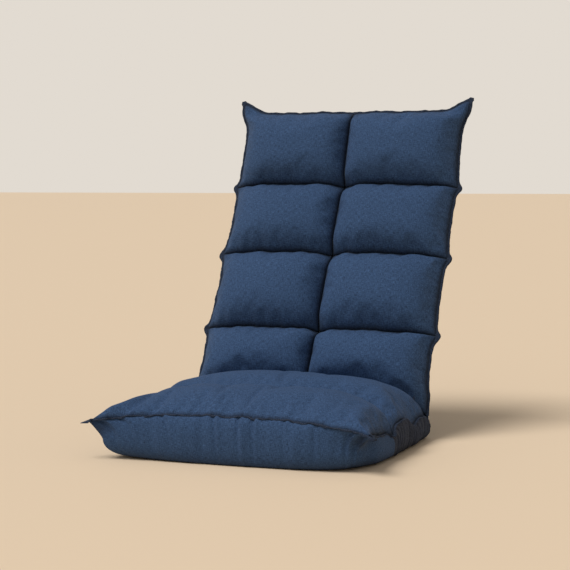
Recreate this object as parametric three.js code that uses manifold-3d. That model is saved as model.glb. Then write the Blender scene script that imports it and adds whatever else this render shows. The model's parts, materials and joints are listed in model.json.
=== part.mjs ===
// Reclining floor chair: a folding steel frame with ratchet hinges at the waist and at the neck,
// slabs of foam in the frame, and fibre-filled pillows in a fabric cover.
// Millimetres, +Z up, the chair faces -Y and stands on z = 0. Left is -X.

import * as THREE from 'three';
import { mergeVertices } from 'three/addons/utils/BufferGeometryUtils.js';
import Module from 'manifold-3d';

const wasm = await Module();
wasm.setup();

// ---- Driving dimensions -------------------------------------------------------------------

const CENTRE_DEPTH = 366;        // from the seat's front edge to the middle of the overall depth
const SPACE = 0.5;               // play left between neighbouring pieces

// Waist axis, measured from the seat's front edge and from the floor.
const WAIST_DEPTH = 395;
const WAIST_HEIGHT = 45;
const BACK_LEAN = THREE.MathUtils.degToRad(30);   // lower back, from upright
const NECK_BEND = THREE.MathUtils.degToRad(9);    // head section, forward of the lower back
const BACK_LENGTH = 500;         // waist axis to neck axis

// Fabric covers and the seam flange that joins their two halves.
const COVER_HALF = 239;
const COVER_THICKNESS = 3;
const FLANGE_INNER = 236;
const FLANGE_OUTER = 246;
const FLANGE_THICKNESS = 3.4;
const GROOVE_EAR = 6;            // how far the flange sticks out where a groove meets it

// Seat.
const SEAM_HEIGHT = 72;
const GROOVE_DEPTH = 190;        // front edge to the groove between the two seat pads
const SEAT_FRONT = 4;
const SEAT_REAR = 436;
const PANEL_THICKNESS = 2.4;
const CORNER_RADIUS = 26;
const SEAT_EAR_TIP = [278, -8];
const PAD_BASE = 70.5;            // height of the underside of the seat pads
const PAD_HALF = 233;
const FRONT_PAD = { from: 16, to: 189, height: 62, edge: 16 };
const REAR_PAD = { from: 191, to: 364, height: 70, edge: 16 };
const SEAT_FOAM = { half: 178, from: 52, to: 318, bottom: 5, top: 69 };

// Back and head, as distances from the axis of the hinge below them.
const ROW_ENDS = [[44, 164], [166, 334], [336, 492]];
const HEAD_ROW = [8, 156];
const PILLOW_BACKSET = 18;       // frame plane to the pillows' flat rear face
const PILLOW_HEIGHT = 58;
const PILLOW_EDGE = 20;
const PILLOW_SPACE = 1;          // half of the space at the middle groove
const SHELL_REAR = 38;           // frame plane to the outside of the rear cover
const SHELL_FRONT = 12;          // frame plane to the front edge of the rear cover
const BACK_SHELL = [45, 480];
const HEAD_SHELL = [20, 166];
const BACK_FOAM = { half: 178, from: 75, to: 430, rear: 22, front: 12 };
const HEAD_FOAM = { half: 178, from: 22, to: 138, rear: 22, front: 12 };
const HEAD_TIP = [256, 197];
const HEAD_FLANGE = { inner: 158, outer: 168, tipRoot: 150, tipSide: 214 };

// Steel frame.
const TUBE_X = 205;
const TUBE_RADIUS = 9.5;
const TUBE_BORE = 8.3;
const CROSS_RADIUS = 7;
const CROSS_BORE = 5.9;
const BEND_RADIUS = 40;
const BEND_STEPS = 4;
const TUBE_SIDES = 4;            // quarter-turn divisions of a tube's section
const SEAT_TUBE_FRONT = 40;
const SEAT_CROSS_DEPTH = 330;
const BACK_CROSS_HEIGHTS = { lower: 60, upper: 445 };
const HEAD_TUBE_TOP = 150;
const TUBE_START = 30;           // hinge axis to the end of the tube the hinge's arm goes into
const TUBE_END = 43;             // hinge axis to the end of the tube the housing goes into

// Ratchet hinge.
const HOUSING_RADIUS = 17;
const HOUSING_THICKNESS = 9.8;
const SLOT_THICKNESS = 4.8;
const SLOT_REACH = 36;           // hinge axis to the end of the slot between the two plates
const PLATE_THICKNESS = 4;
const ARM_WIDTH = 11.4;
const ARM_REACH = 62;
const WEB_WIDTH = 16;
const WEB_END = 42;
const TOOTH_TIP = 13;
const TOOTH_ROOT = 11.4;
const TOOTH_COUNT = 14;
const TOOTHED_FROM = THREE.MathUtils.degToRad(140);  // from the +Y side, with the arm at 90
const TOOTHED_SWEEP = THREE.MathUtils.degToRad(145);
const RIVET = { shank: 3.5, head: 6.5, headHeight: 1.8, hole: 3.8 };
const PAWL_PIVOT = [-25, 6];
const PAWL = { trunnion: 1.8, hole: 2.1, boss: 3.8, cheek: 7, tip: [-14.1, -1.5], tipWidth: 1.6 };
const SPRING = { width: 3, thickness: 0.7 };
const ROUND_SIDES = 16;
const SMALL_SIDES = 10;

const PAD_POWER = 4;             // higher is flatter on top, with steeper shoulders
const SEAT_PAD_STEPS = [10, 6];
const PILLOW_STEPS = [6, 6];

// ---- Materials ----------------------------------------------------------------------------

const LOOKS = {
  fabric: { color: 0x33486b, roughness: 0.95, metalness: 0 },
  edging: { color: 0x1f2b45, roughness: 0.95, metalness: 0 },
  underside: { color: 0x1b1d22, roughness: 0.98, metalness: 0 },
  foam: { color: 0xd9cfa8, roughness: 1, metalness: 0 },
  tube: { color: 0x3a3d40, roughness: 0.45, metalness: 0.8 },
  plate: { color: 0x9a9da1, roughness: 0.35, metalness: 1 },
};

function piece(name, geometry, look) {
  const mesh = new THREE.Mesh(geometry, new THREE.MeshStandardMaterial(LOOKS[look]));
  mesh.name = name;
  return mesh;
}

// ---- Shape helpers ------------------------------------------------------------------------

const MERGE_TOLERANCE = 1e-4;

function toSolid(geometry) {
  const bare = geometry.clone();
  bare.deleteAttribute('normal');
  bare.deleteAttribute('uv');
  const merged = mergeVertices(bare, MERGE_TOLERANCE);
  return new wasm.Manifold(new wasm.Mesh({
    numProp: 3,
    vertProperties: merged.attributes.position.array,
    triVerts: merged.index.array,
  }));
}

function toGeometry(solid) {
  const mesh = solid.getMesh();
  const geometry = new THREE.BufferGeometry();
  geometry.setAttribute('position', new THREE.BufferAttribute(mesh.vertProperties, 3));
  geometry.setIndex(new THREE.BufferAttribute(mesh.triVerts, 1));
  geometry.computeVertexNormals();
  return geometry;
}

function joined(...geometries) {
  return toGeometry(geometries.map(toSolid).reduce((whole, next) => whole.add(next)));
}

function cut(body, ...tools) {
  return toGeometry(tools.map(toSolid).reduce((rest, tool) => rest.subtract(tool), toSolid(body)));
}

// A box given by its low and high corners.
function block([x0, y0, z0], [x1, y1, z1]) {
  return new THREE.BoxGeometry(x1 - x0, y1 - y0, z1 - z0)
    .translate((x0 + x1) / 2, (y0 + y1) / 2, (z0 + z1) / 2);
}

// A flat plate: the outline in X and Y, and its two heights.
function slab(outline, bottom, top) {
  const shape = new THREE.Shape(outline.map(([x, y]) => new THREE.Vector2(x, y)));
  return new THREE.ExtrudeGeometry(shape, { depth: top - bottom, bevelEnabled: false })
    .translate(0, 0, bottom);
}

// A plate across the width: the outline in Y and Z, and its two sides in X.
const SIDE_VIEW = new THREE.Matrix4().makeBasis(
  new THREE.Vector3(0, 1, 0), new THREE.Vector3(0, 0, 1), new THREE.Vector3(1, 0, 0));

function sideSlab(outline, x0, x1) {
  return slab(outline, x0, x1).applyMatrix4(SIDE_VIEW);
}

// A plate that stands in the back's own plane: the outline in X and Z, front face at y = -front.
function standingSlab(outline, rear, front) {
  return slab(outline, rear, front).rotateX(Math.PI / 2);
}

// A disc or pin along X, centred on [y, z].
function discAcross(radius, thickness, [y, z], sides) {
  return new THREE.CylinderGeometry(radius, radius, thickness, sides)
    .rotateZ(Math.PI / 2).translate(0, y, z);
}

function mirrored(outline) {
  return outline.map(([x, y]) => [-x, y]).reverse();
}

// Both halves of an outline that is symmetric about x = 0, given its right half.
function bothHalves(half) {
  return [...half, ...mirrored(half)];
}

// Points of a path with its corners rounded.
function roundedPath(corners, radius, steps) {
  const points = [corners[0]];
  for (let i = 1; i < corners.length - 1; i += 1) {
    const [before, corner, after] = [corners[i - 1], corners[i], corners[i + 1]];
    const start = before.clone().sub(corner).setLength(radius).add(corner);
    const end = after.clone().sub(corner).setLength(radius).add(corner);
    points.push(...new THREE.QuadraticBezierCurve3(start, corner, end).getPoints(steps));
  }
  return [...points, corners.at(-1)];
}

// A path sampled at its own points, so a straight run takes one step and a bend takes several.
class PointPath extends THREE.Curve {
  constructor(points) {
    super();
    this.points = points;
  }

  getPoint(t, target = new THREE.Vector3()) {
    const place = t * (this.points.length - 1);
    const index = Math.min(Math.floor(place), this.points.length - 2);
    return target.lerpVectors(this.points[index], this.points[index + 1], place - index);
  }

  getPointAt(t, target) {
    return this.getPoint(t, target);
  }

  getTangentAt(t, target) {
    return this.getTangent(t, target);
  }
}

// An open-ended tube along a path of points.
function tubeAlong(points, radius, bore) {
  const section = new THREE.Shape().absarc(0, 0, radius, 0, 2 * Math.PI);
  section.holes.push(new THREE.Path().absarc(0, 0, bore, 0, 2 * Math.PI, true));
  return new THREE.ExtrudeGeometry(section, {
    steps: points.length - 1,
    extrudePath: new PointPath(points),
    curveSegments: TUBE_SIDES,
  });
}

// A pad with a flat underside, low edges and a crowned top.
function crownedPad(width, length, height, edge, [stepsAcross, stepsAlong]) {
  const pad = new THREE.BoxGeometry(width, length, 1, stepsAcross, stepsAlong, 1);
  const points = pad.attributes.position;
  for (let i = 0; i < points.count; i += 1) {
    const across = Math.abs(2 * points.getX(i) / width);
    const along = Math.abs(2 * points.getY(i) / length);
    const swell = Math.sqrt((1 - across ** PAD_POWER) * (1 - along ** PAD_POWER));
    points.setZ(i, points.getZ(i) > 0 ? edge + (height - edge) * swell : 0);
  }
  return pad;
}

// ---- Seat ---------------------------------------------------------------------------------

// U-shaped outline, open to the rear, with rounded or pointed front corners.
function frontRun(half, front, radius) {
  const corner = [new THREE.Vector3(half, GROOVE_DEPTH, 0), new THREE.Vector3(half, front, 0),
    new THREE.Vector3(0, front, 0)];
  return roundedPath(corner, radius, BEND_STEPS).slice(0, -1).map(({ x, y }) => [x, y]);
}

function seatBottomPanel() {
  const outline = bothHalves([[COVER_HALF, SEAT_REAR],
    ...frontRun(COVER_HALF, SEAT_FRONT, CORNER_RADIUS).slice(1)]);
  return piece('seat_bottom_panel', slab(outline, 0, PANEL_THICKNESS), 'underside');
}

function seatLowerCover() {
  const outer = bothHalves(frontRun(COVER_HALF, SEAT_FRONT, CORNER_RADIUS));
  const inner = bothHalves(frontRun(COVER_HALF - COVER_THICKNESS, SEAT_FRONT + COVER_THICKNESS,
    CORNER_RADIUS - COVER_THICKNESS)).reverse();
  const top = SEAM_HEIGHT - FLANGE_THICKNESS / 2 - SPACE;
  return piece('seat_lower_cover', slab([...outer, ...inner], PANEL_THICKNESS + SPACE, top),
    'fabric');
}

function seatPad(name, { from, to, height, edge }) {
  const pad = piece(name, crownedPad(2 * PAD_HALF, to - from, height, edge, SEAT_PAD_STEPS),
    'fabric');
  pad.position.set(0, (from + to) / 2, PAD_BASE);
  return pad;
}

function seatFoam() {
  const { half, from, to, bottom, top } = SEAT_FOAM;
  return piece('seat_foam_core', block([-half, from, bottom], [half, to, top]), 'foam');
}

function seatFlange() {
  const [tipX, tipY] = SEAT_EAR_TIP;
  const outer = bothHalves([[FLANGE_OUTER, GROOVE_DEPTH], [FLANGE_OUTER, CORNER_RADIUS],
    [tipX, tipY], [FLANGE_OUTER - CORNER_RADIUS, SEAT_FRONT]]);
  const inner = bothHalves([[FLANGE_INNER, GROOVE_DEPTH], [FLANGE_INNER, FRONT_PAD.from - 2]]);
  const half = FLANGE_THICKNESS / 2;
  return piece('seat_flange', slab([...outer, ...inner.reverse()], SEAM_HEIGHT - half,
    SEAM_HEIGHT + half), 'edging');
}

// The flange along the gathered sides, with an ear where the groove ends.
function seatRearFlange(name, side) {
  const start = GROOVE_DEPTH + SPACE;
  const right = [[FLANGE_INNER, start], [FLANGE_OUTER + GROOVE_EAR, start],
    [FLANGE_OUTER, start + 2 * GROOVE_EAR], [FLANGE_OUTER, WAIST_DEPTH], [FLANGE_INNER, WAIST_DEPTH]];
  const half = FLANGE_THICKNESS / 2;
  return piece(name, slab(side > 0 ? right : mirrored(right), SEAM_HEIGHT - half,
    SEAM_HEIGHT + half), 'edging');
}

// A point of the back's own plane, seen from the side: distance up the back and forward of it.
function onBack(up, forward) {
  const [sin, cos] = [Math.sin(BACK_LEAN), Math.cos(BACK_LEAN)];
  return [WAIST_DEPTH + up * sin - forward * cos, WAIST_HEIGHT + up * cos + forward * sin];
}

const WAIST_FOLD = { from: 437, knee: [448, 26], up: BACK_SHELL[0] - 1 };

// Gathered side panel of the seat, which bridges to the back when the chair reclines.
function seatGusset(name, side) {
  const low = PANEL_THICKNESS + SPACE;
  const top = SEAM_HEIGHT - FLANGE_THICKNESS / 2 - SPACE;
  const outline = [[GROOVE_DEPTH + SPACE, low], [WAIST_FOLD.from, low], WAIST_FOLD.knee,
    onBack(WAIST_FOLD.up - 1, -SHELL_REAR), onBack(WAIST_FOLD.up - 4, SHELL_FRONT),
    [WAIST_DEPTH + 2, top], [GROOVE_DEPTH + SPACE, top]];
  const inner = side * (COVER_HALF - COVER_THICKNESS);
  const outer = side * COVER_HALF;
  return piece(name, sideSlab(outline, Math.min(inner, outer), Math.max(inner, outer)), 'fabric');
}

// Fabric behind the waist, between the underside and the rear cover.
function waistRearCover() {
  const low = PANEL_THICKNESS + SPACE;
  const [kneeY, kneeZ] = WAIST_FOLD.knee;
  const outline = [[WAIST_FOLD.from, low], [kneeY, kneeZ], onBack(WAIST_FOLD.up, -SHELL_REAR),
    onBack(WAIST_FOLD.up, COVER_THICKNESS - SHELL_REAR), [kneeY - COVER_THICKNESS, kneeZ + 2],
    [WAIST_FOLD.from, low + COVER_THICKNESS]];
  const half = COVER_HALF - COVER_THICKNESS - SPACE;
  return piece('waist_rear_cover', sideSlab(outline, -half, half), 'fabric');
}

function seatTube() {
  const at = (x, y) => new THREE.Vector3(x, y, WAIST_HEIGHT);
  const end = WAIST_DEPTH - TUBE_END;
  const path = roundedPath([at(-TUBE_X, end), at(-TUBE_X, SEAT_TUBE_FRONT),
    at(TUBE_X, SEAT_TUBE_FRONT), at(TUBE_X, end)], BEND_RADIUS, BEND_STEPS);
  return piece('seat_frame_tube', tubeAlong(path, TUBE_RADIUS, TUBE_BORE), 'tube');
}

// A straight tube across the width, butted against the side tubes.
function crossTube(name) {
  const half = TUBE_X - TUBE_RADIUS - SPACE;
  const ends = [new THREE.Vector3(-half, 0, 0), new THREE.Vector3(half, 0, 0)];
  return piece(name, tubeAlong(ends, CROSS_RADIUS, CROSS_BORE), 'tube');
}

// ---- Back and head ------------------------------------------------------------------------

// A pillow of one column: its flat face towards the frame, its crown towards the front.
function pillow(name, side, [from, to]) {
  const width = PAD_HALF - PILLOW_SPACE;
  const pad = piece(name, crownedPad(width, to - from, PILLOW_HEIGHT, PILLOW_EDGE, PILLOW_STEPS),
    'fabric');
  pad.rotation.x = Math.PI / 2;
  pad.position.set(side * (PILLOW_SPACE + width / 2), -PILLOW_BACKSET, (from + to) / 2);
  return pad;
}

function foamSlab(name, { half, from, to, rear, front }) {
  return piece(name, block([-half, -front, from], [half, rear, to]), 'foam');
}

// The rear cover: a rear panel and two side walls, open towards the front.
function shell([from, to]) {
  const inside = COVER_HALF - COVER_THICKNESS;
  const outline = [[-COVER_HALF, -SHELL_FRONT], [-inside, -SHELL_FRONT],
    [-inside, SHELL_REAR - COVER_THICKNESS], [inside, SHELL_REAR - COVER_THICKNESS],
    [inside, -SHELL_FRONT], [COVER_HALF, -SHELL_FRONT], [COVER_HALF, SHELL_REAR],
    [-COVER_HALF, SHELL_REAR]];
  return slab(outline, from, to);
}

function headShell() {
  const [, top] = HEAD_SHELL;
  const lid = block([-COVER_HALF, -SHELL_FRONT, top - COVER_THICKNESS],
    [COVER_HALF, SHELL_REAR, top]);
  return piece('head_rear_cover', joined(shell(HEAD_SHELL), lid), 'fabric');
}

// A point of the head's own plane in the back's frame: [y, z] with y to the rear.
function onHead(up, forward) {
  const [sin, cos] = [Math.sin(NECK_BEND), Math.cos(NECK_BEND)];
  return [-up * sin - forward * cos, BACK_LENGTH + up * cos - forward * sin];
}

// Fabric that bridges the two rear covers behind and beside the neck.
function neckRearCover() {
  const low = BACK_SHELL[1] + SPACE;
  const high = HEAD_SHELL[0] - 2 * SPACE;
  const outline = (rear, front) => [[-front, low], [rear, low], onHead(high, -rear),
    onHead(high, front)];
  const inside = COVER_HALF - COVER_THICKNESS;
  const body = sideSlab(outline(SHELL_REAR, SHELL_FRONT), -COVER_HALF, COVER_HALF);
  const space = sideSlab([[-BACK_LENGTH, 0], [SHELL_REAR - COVER_THICKNESS, 0],
    [SHELL_REAR - COVER_THICKNESS, BACK_LENGTH],
    onHead(BACK_LENGTH, COVER_THICKNESS - SHELL_REAR), [-BACK_LENGTH, 2 * BACK_LENGTH]],
  -inside, inside);
  return piece('neck_rear_cover', cut(body, space), 'fabric');
}

function backFlange(name, side) {
  const [from, to] = [BACK_SHELL[0] + 3, BACK_SHELL[1]];
  const right = [[FLANGE_INNER, from], [FLANGE_OUTER, from]];
  for (const [, groove] of ROW_ENDS.slice(0, 2)) {
    right.push([FLANGE_OUTER, groove - GROOVE_EAR], [FLANGE_OUTER + GROOVE_EAR, groove],
      [FLANGE_OUTER, groove + GROOVE_EAR]);
  }
  right.push([FLANGE_OUTER, to], [FLANGE_INNER, to]);
  const rear = SHELL_FRONT + SPACE;
  return piece(name, standingSlab(side > 0 ? right : mirrored(right), rear,
    rear + FLANGE_THICKNESS), 'edging');
}

function headFlange() {
  const { inner, outer, tipRoot, tipSide } = HEAD_FLANGE;
  const [from] = HEAD_SHELL;
  const outside = bothHalves([[FLANGE_OUTER, from], [FLANGE_OUTER, tipRoot], HEAD_TIP,
    [tipSide, outer]]);
  const inside = bothHalves([[FLANGE_INNER, from], [FLANGE_INNER, inner]]);
  const rear = SHELL_FRONT + SPACE;
  return piece('head_flange', standingSlab([...outside, ...inside.reverse()], rear,
    rear + FLANGE_THICKNESS), 'edging');
}

function backSideTube(name, side) {
  const x = side * TUBE_X;
  const ends = [new THREE.Vector3(x, 0, TUBE_START), new THREE.Vector3(x, 0, BACK_LENGTH - TUBE_END)];
  return piece(name, tubeAlong(ends, TUBE_RADIUS, TUBE_BORE), 'tube');
}

function headTube() {
  const at = (x, z) => new THREE.Vector3(x, 0, z);
  const path = roundedPath([at(-TUBE_X, TUBE_START), at(-TUBE_X, HEAD_TUBE_TOP),
    at(TUBE_X, HEAD_TUBE_TOP), at(TUBE_X, TUBE_START)], BEND_RADIUS, BEND_STEPS);
  return piece('head_frame_tube', tubeAlong(path, TUBE_RADIUS, TUBE_BORE), 'tube');
}

// ---- Ratchet hinge ------------------------------------------------------------------------
// Drawn about its axis along X. The housing's arm points along -Y, the toothed plate's along +Z.

// Two cheek plates joined by a web, with a tongue that goes into the tube.
function hingeHousing(name) {
  const round = discAcross(HOUSING_RADIUS, HOUSING_THICKNESS, [0, 0], ROUND_SIDES);
  const cheek = discAcross(PAWL.cheek, HOUSING_THICKNESS, PAWL_PIVOT, ROUND_SIDES);
  const half = HOUSING_THICKNESS / 2;
  const arm = block([-half, -WEB_END, -WEB_WIDTH / 2], [half, 0, WEB_WIDTH / 2]);
  const tongue = block([-PLATE_THICKNESS / 2, -ARM_REACH, -ARM_WIDTH / 2],
    [PLATE_THICKNESS / 2, 1 - WEB_END, ARM_WIDTH / 2]);
  const slot = block([-SLOT_THICKNESS / 2, -SLOT_REACH, -ARM_REACH],
    [SLOT_THICKNESS / 2, ARM_REACH, ARM_REACH]);
  const length = 2 * HOUSING_THICKNESS;
  return piece(name, cut(joined(round, cheek, arm, tongue), slot,
    discAcross(RIVET.hole, length, [0, 0], ROUND_SIDES),
    discAcross(PAWL.hole, length, PAWL_PIVOT, SMALL_SIDES)), 'plate');
}

function toothedOutline() {
  const points = [];
  const pitch = TOOTHED_SWEEP / TOOTH_COUNT;
  const add = (radius, angle) => points.push([radius * Math.cos(angle), radius * Math.sin(angle)]);
  for (let tooth = 0; tooth < TOOTH_COUNT; tooth += 1) {
    add(TOOTH_ROOT, TOOTHED_FROM + tooth * pitch);
    add(TOOTH_TIP, TOOTHED_FROM + (tooth + 0.35) * pitch);
  }
  const plainSweep = 2 * Math.PI - TOOTHED_SWEEP;
  for (let step = 0; step < ROUND_SIDES / 2; step += 1) {
    add(TOOTH_ROOT, TOOTHED_FROM + TOOTHED_SWEEP + step * plainSweep / (ROUND_SIDES / 2));
  }
  return points;
}

// Toothed plate with the arm that goes into the moving tube.
function hingeGear(name) {
  const half = PLATE_THICKNESS / 2;
  const wheel = sideSlab(toothedOutline(), -half, half);
  const arm = block([-half, -ARM_WIDTH / 2, 0], [half, ARM_WIDTH / 2, ARM_REACH]);
  const hole = discAcross(RIVET.hole, HOUSING_THICKNESS, [0, 0], ROUND_SIDES);
  return piece(name, cut(joined(wheel, arm), hole), 'plate');
}

function hingeRivet(name) {
  const shank = discAcross(RIVET.shank, HOUSING_THICKNESS + 2 * SPACE, [0, 0], ROUND_SIDES);
  const heads = [-1, 1].map((side) => discAcross(RIVET.head, RIVET.headHeight, [0, 0], ROUND_SIDES)
    .translate(side * (HOUSING_THICKNESS / 2 + SPACE + RIVET.headHeight / 2), 0, 0));
  return piece(name, joined(shank, ...heads), 'plate');
}

// Pawl whose trunnions turn in the cheek plates; its tip stands clear of the teeth.
function hingePawl(name) {
  const [tipY, tipZ] = PAWL.tip;
  const [pivotY, pivotZ] = PAWL_PIVOT;
  const half = PLATE_THICKNESS / 2;
  const finger = sideSlab([[pivotY - 1, pivotZ - PAWL.boss + 0.4], [tipY - PAWL.tipWidth, tipZ],
    [tipY, tipZ + PAWL.tipWidth / 2], [pivotY + 1, pivotZ + PAWL.boss - 0.4]], -half, half);
  const boss = discAcross(PAWL.boss, PLATE_THICKNESS, PAWL_PIVOT, SMALL_SIDES);
  const trunnion = discAcross(PAWL.trunnion, HOUSING_THICKNESS, PAWL_PIVOT, SMALL_SIDES);
  return piece(name, joined(finger, boss, trunnion), 'plate');
}

// Leaf spring from the web to the pawl's back.
function pawlSpring(name) {
  const [pivotY, pivotZ] = PAWL_PIVOT;
  const below = pivotZ - PAWL.boss - SPACE;
  const bottom = below - SPRING.thickness;
  const rear = SPACE - SLOT_REACH;
  const bend = pivotY - PAWL.boss;
  const outline = [[rear, bottom - 2], [rear + SPRING.thickness, bottom - 2],
    [bend, bottom], [pivotY, bottom], [pivotY, below], [bend, below],
    [rear, bottom - 1]];
  return piece(name, sideSlab(outline, -SPRING.width / 2, SPRING.width / 2), 'plate');
}

// Adds the fixed half of a hinge to one section and the toothed half to the next one.
function addHinge(fixed, moving, place, side, turn, height) {
  const suffix = side > 0 ? 'right' : 'left';
  const fixedParts = [hingeHousing, hingeRivet, hingePawl, pawlSpring];
  const fixedNames = ['hinge_housing', 'hinge_rivet', 'pawl', 'pawl_spring'];
  const frame = new THREE.Group();
  fixedParts.forEach((make, i) => frame.add(make(`${place}_${fixedNames[i]}_${suffix}`)));
  frame.position.set(side * TUBE_X, ...height);
  frame.rotation.x = turn;
  fixed.add(frame);
  const gear = hingeGear(`${place}_hinge_gear_${suffix}`);
  gear.position.x = side * TUBE_X;
  moving.add(gear);
}

// ---- Assembly -----------------------------------------------------------------------------

const SIDES = [['left', -1], ['right', 1]];

const chair = new THREE.Group();
chair.name = 'reclining_floor_chair';

const seat = new THREE.Group();
seat.position.y = -CENTRE_DEPTH;
chair.add(seat);

const back = new THREE.Group();
back.position.set(0, WAIST_DEPTH, WAIST_HEIGHT);
back.rotation.x = -BACK_LEAN;
seat.add(back);

const head = new THREE.Group();
head.position.z = BACK_LENGTH;
head.rotation.x = NECK_BEND;
back.add(head);

const seatCross = crossTube('seat_cross_tube');
seatCross.position.set(0, SEAT_CROSS_DEPTH, WAIST_HEIGHT);
seat.add(seatBottomPanel(), seatLowerCover(), seatFoam(), seatTube(), seatCross,
  seatPad('seat_front_pad', FRONT_PAD), seatPad('seat_rear_pad', REAR_PAD), seatFlange(),
  waistRearCover());

back.add(piece('back_rear_cover', shell(BACK_SHELL), 'fabric'), neckRearCover(),
  foamSlab('back_foam_core', BACK_FOAM));
for (const [level, height] of Object.entries(BACK_CROSS_HEIGHTS)) {
  const tube = crossTube(`back_cross_tube_${level}`);
  tube.position.z = height;
  back.add(tube);
}

head.add(headShell(), headTube(), foamSlab('head_foam_core', HEAD_FOAM), headFlange());

const ROW_NAMES = ['lumbar', 'middle', 'upper'];
for (const [name, side] of SIDES) {
  seat.add(seatGusset(`seat_gusset_${name}`, side), seatRearFlange(`seat_rear_flange_${name}`, side));
  ROW_NAMES.forEach((row, i) => back.add(pillow(`${row}_pillow_${name}`, side, ROW_ENDS[i])));
  back.add(backFlange(`back_flange_${name}`, side), backSideTube(`back_side_tube_${name}`, side));
  head.add(pillow(`head_pillow_${name}`, side, HEAD_ROW));
  addHinge(seat, back, 'waist', side, 0, [WAIST_DEPTH, WAIST_HEIGHT]);
  addHinge(back, head, 'neck', side, Math.PI / 2, [0, BACK_LENGTH]);
}

export default chair;
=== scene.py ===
# %% [markdown]
# # A reclining floor chair
# The chair has a seat, a back and a head section on a folding steel frame. The frame, the
# hinges and the foam come from the CAD model and stay inside. This file makes what is seen:
# fibre-filled pillows, the fabric shell behind them, the seam flange round the edge and the
# gathered sides. The first line loads the CAD model, which gives every place and size.

# %% Load the frame
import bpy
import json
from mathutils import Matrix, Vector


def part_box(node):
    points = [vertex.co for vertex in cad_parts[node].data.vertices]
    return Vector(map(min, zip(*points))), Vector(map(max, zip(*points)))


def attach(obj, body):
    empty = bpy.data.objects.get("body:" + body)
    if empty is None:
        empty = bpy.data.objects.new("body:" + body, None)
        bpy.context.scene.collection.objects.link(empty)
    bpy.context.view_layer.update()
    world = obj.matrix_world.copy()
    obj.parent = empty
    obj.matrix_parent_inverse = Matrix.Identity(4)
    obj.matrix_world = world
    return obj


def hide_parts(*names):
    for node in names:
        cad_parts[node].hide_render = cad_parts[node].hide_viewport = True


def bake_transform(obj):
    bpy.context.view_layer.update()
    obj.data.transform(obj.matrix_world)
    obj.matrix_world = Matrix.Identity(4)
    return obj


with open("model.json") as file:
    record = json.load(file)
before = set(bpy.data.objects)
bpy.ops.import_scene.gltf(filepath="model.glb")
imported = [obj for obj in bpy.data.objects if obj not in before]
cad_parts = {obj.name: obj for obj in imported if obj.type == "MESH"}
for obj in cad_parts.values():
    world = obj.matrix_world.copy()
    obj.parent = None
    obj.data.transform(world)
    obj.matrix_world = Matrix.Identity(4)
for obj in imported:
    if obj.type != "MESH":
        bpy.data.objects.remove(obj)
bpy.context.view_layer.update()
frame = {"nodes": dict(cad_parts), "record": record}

import json
import math
from functools import partial

import bmesh
import bpy
import numpy as np
from mathutils import Vector

# %% [markdown]
# ## Where the sections turn
# Two hinge axes run across the chair, one at the waist and one at the neck. Everything on the
# back is placed by two numbers: `up`, the distance from the waist axis along the back, and
# `out`, the distance forward of the plane of the steel frame. At the neck the plane bends
# forward a little, so its lean changes smoothly there and the places are summed along the way.

# %% Side profile of the back
JOINTS = {joint["name"]: joint for joint in frame["record"]["behaviour"]["joints"]}
WAIST = np.array(JOINTS["waist_recline"]["pos_m"])
NECK = np.array(JOINTS["neck_tilt"]["pos_m"])
BACK_LENGTH = float(np.linalg.norm(NECK - WAIST))
BACK_LEAN = math.atan2(NECK[1] - WAIST[1], NECK[2] - WAIST[2])
HEAD_LEAN = BACK_LEAN - math.radians(9)
NECK_BLEND = 0.04
FRONT = float(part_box("seat_lower_cover")[0][1]) - 0.004


def smooth(t):
    t = np.clip(t, 0, 1)
    return t * t * (3 - 2 * t)


def unit(vectors):
    return vectors / np.maximum(np.linalg.norm(vectors, axis=-1, keepdims=True), 1e-9)


UPS = np.arange(-0.12, 0.80, 0.001)
NECK_SHARE = smooth((UPS - BACK_LENGTH + NECK_BLEND) / (2 * NECK_BLEND))
LEANS = BACK_LEAN + (HEAD_LEAN - BACK_LEAN) * NECK_SHARE
LINE_Y = np.cumsum(np.sin(LEANS)) * 0.001
LINE_Z = np.cumsum(np.cos(LEANS)) * 0.001
LINE_Y += WAIST[1] - np.interp(0, UPS, LINE_Y)
LINE_Z += WAIST[2] - np.interp(0, UPS, LINE_Z)


def on_back(x, up, out):
    """Points in the chair's frame from the width, the distance up the back and forward of it."""
    x, up, out = np.broadcast_arrays(np.asarray(x, float), up, out)
    lean = np.interp(up, UPS, LEANS)
    y = np.interp(up, UPS, LINE_Y) - out * np.cos(lean)
    z = np.interp(up, UPS, LINE_Z) + out * np.sin(lean)
    return np.stack([x, y, z], -1)


print("back length", round(BACK_LENGTH, 3), "lean", round(math.degrees(BACK_LEAN), 1))

# %% [markdown]
# ## Mesh helpers
# Most pieces are sheets: a grid of points in rows and columns. A grid carries a UV map in
# metres, so the weave keeps its size and follows the cloth. A pillow is two grids that share
# their rim, which makes it one closed bag.

# %% Grids of points into meshes
ALL_PIECES = {}


def grid_faces(rows, cols, index):
    return [(index[r, c], index[r, c + 1], index[r + 1, c + 1], index[r + 1, c])
            for r in range(rows - 1) for c in range(cols - 1)]


def ring_faces(index):
    """Faces between rings of points; the last point of each ring joins its first."""
    rows, cols = index.shape
    return grid_faces(rows, cols + 1, np.concatenate([index, index[:, :1]], 1))


def make_object(name, points, faces, uvs, material, smooth_shade=True):
    mesh = bpy.data.meshes.new(name)
    mesh.from_pydata([tuple(map(float, p)) for p in points], [], faces)
    layer = mesh.uv_layers.new(name="cloth")
    corner_uv = np.asarray(uvs, float)[[v for face in faces for v in face]]
    layer.data.foreach_set("uv", corner_uv.ravel())
    mesh.polygons.foreach_set("use_smooth", [smooth_shade] * len(mesh.polygons))
    if material:
        mesh.materials.append(material)
    piece = bpy.data.objects.new(name, mesh)
    bpy.context.scene.collection.objects.link(piece)
    ALL_PIECES[name] = piece
    return piece


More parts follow.
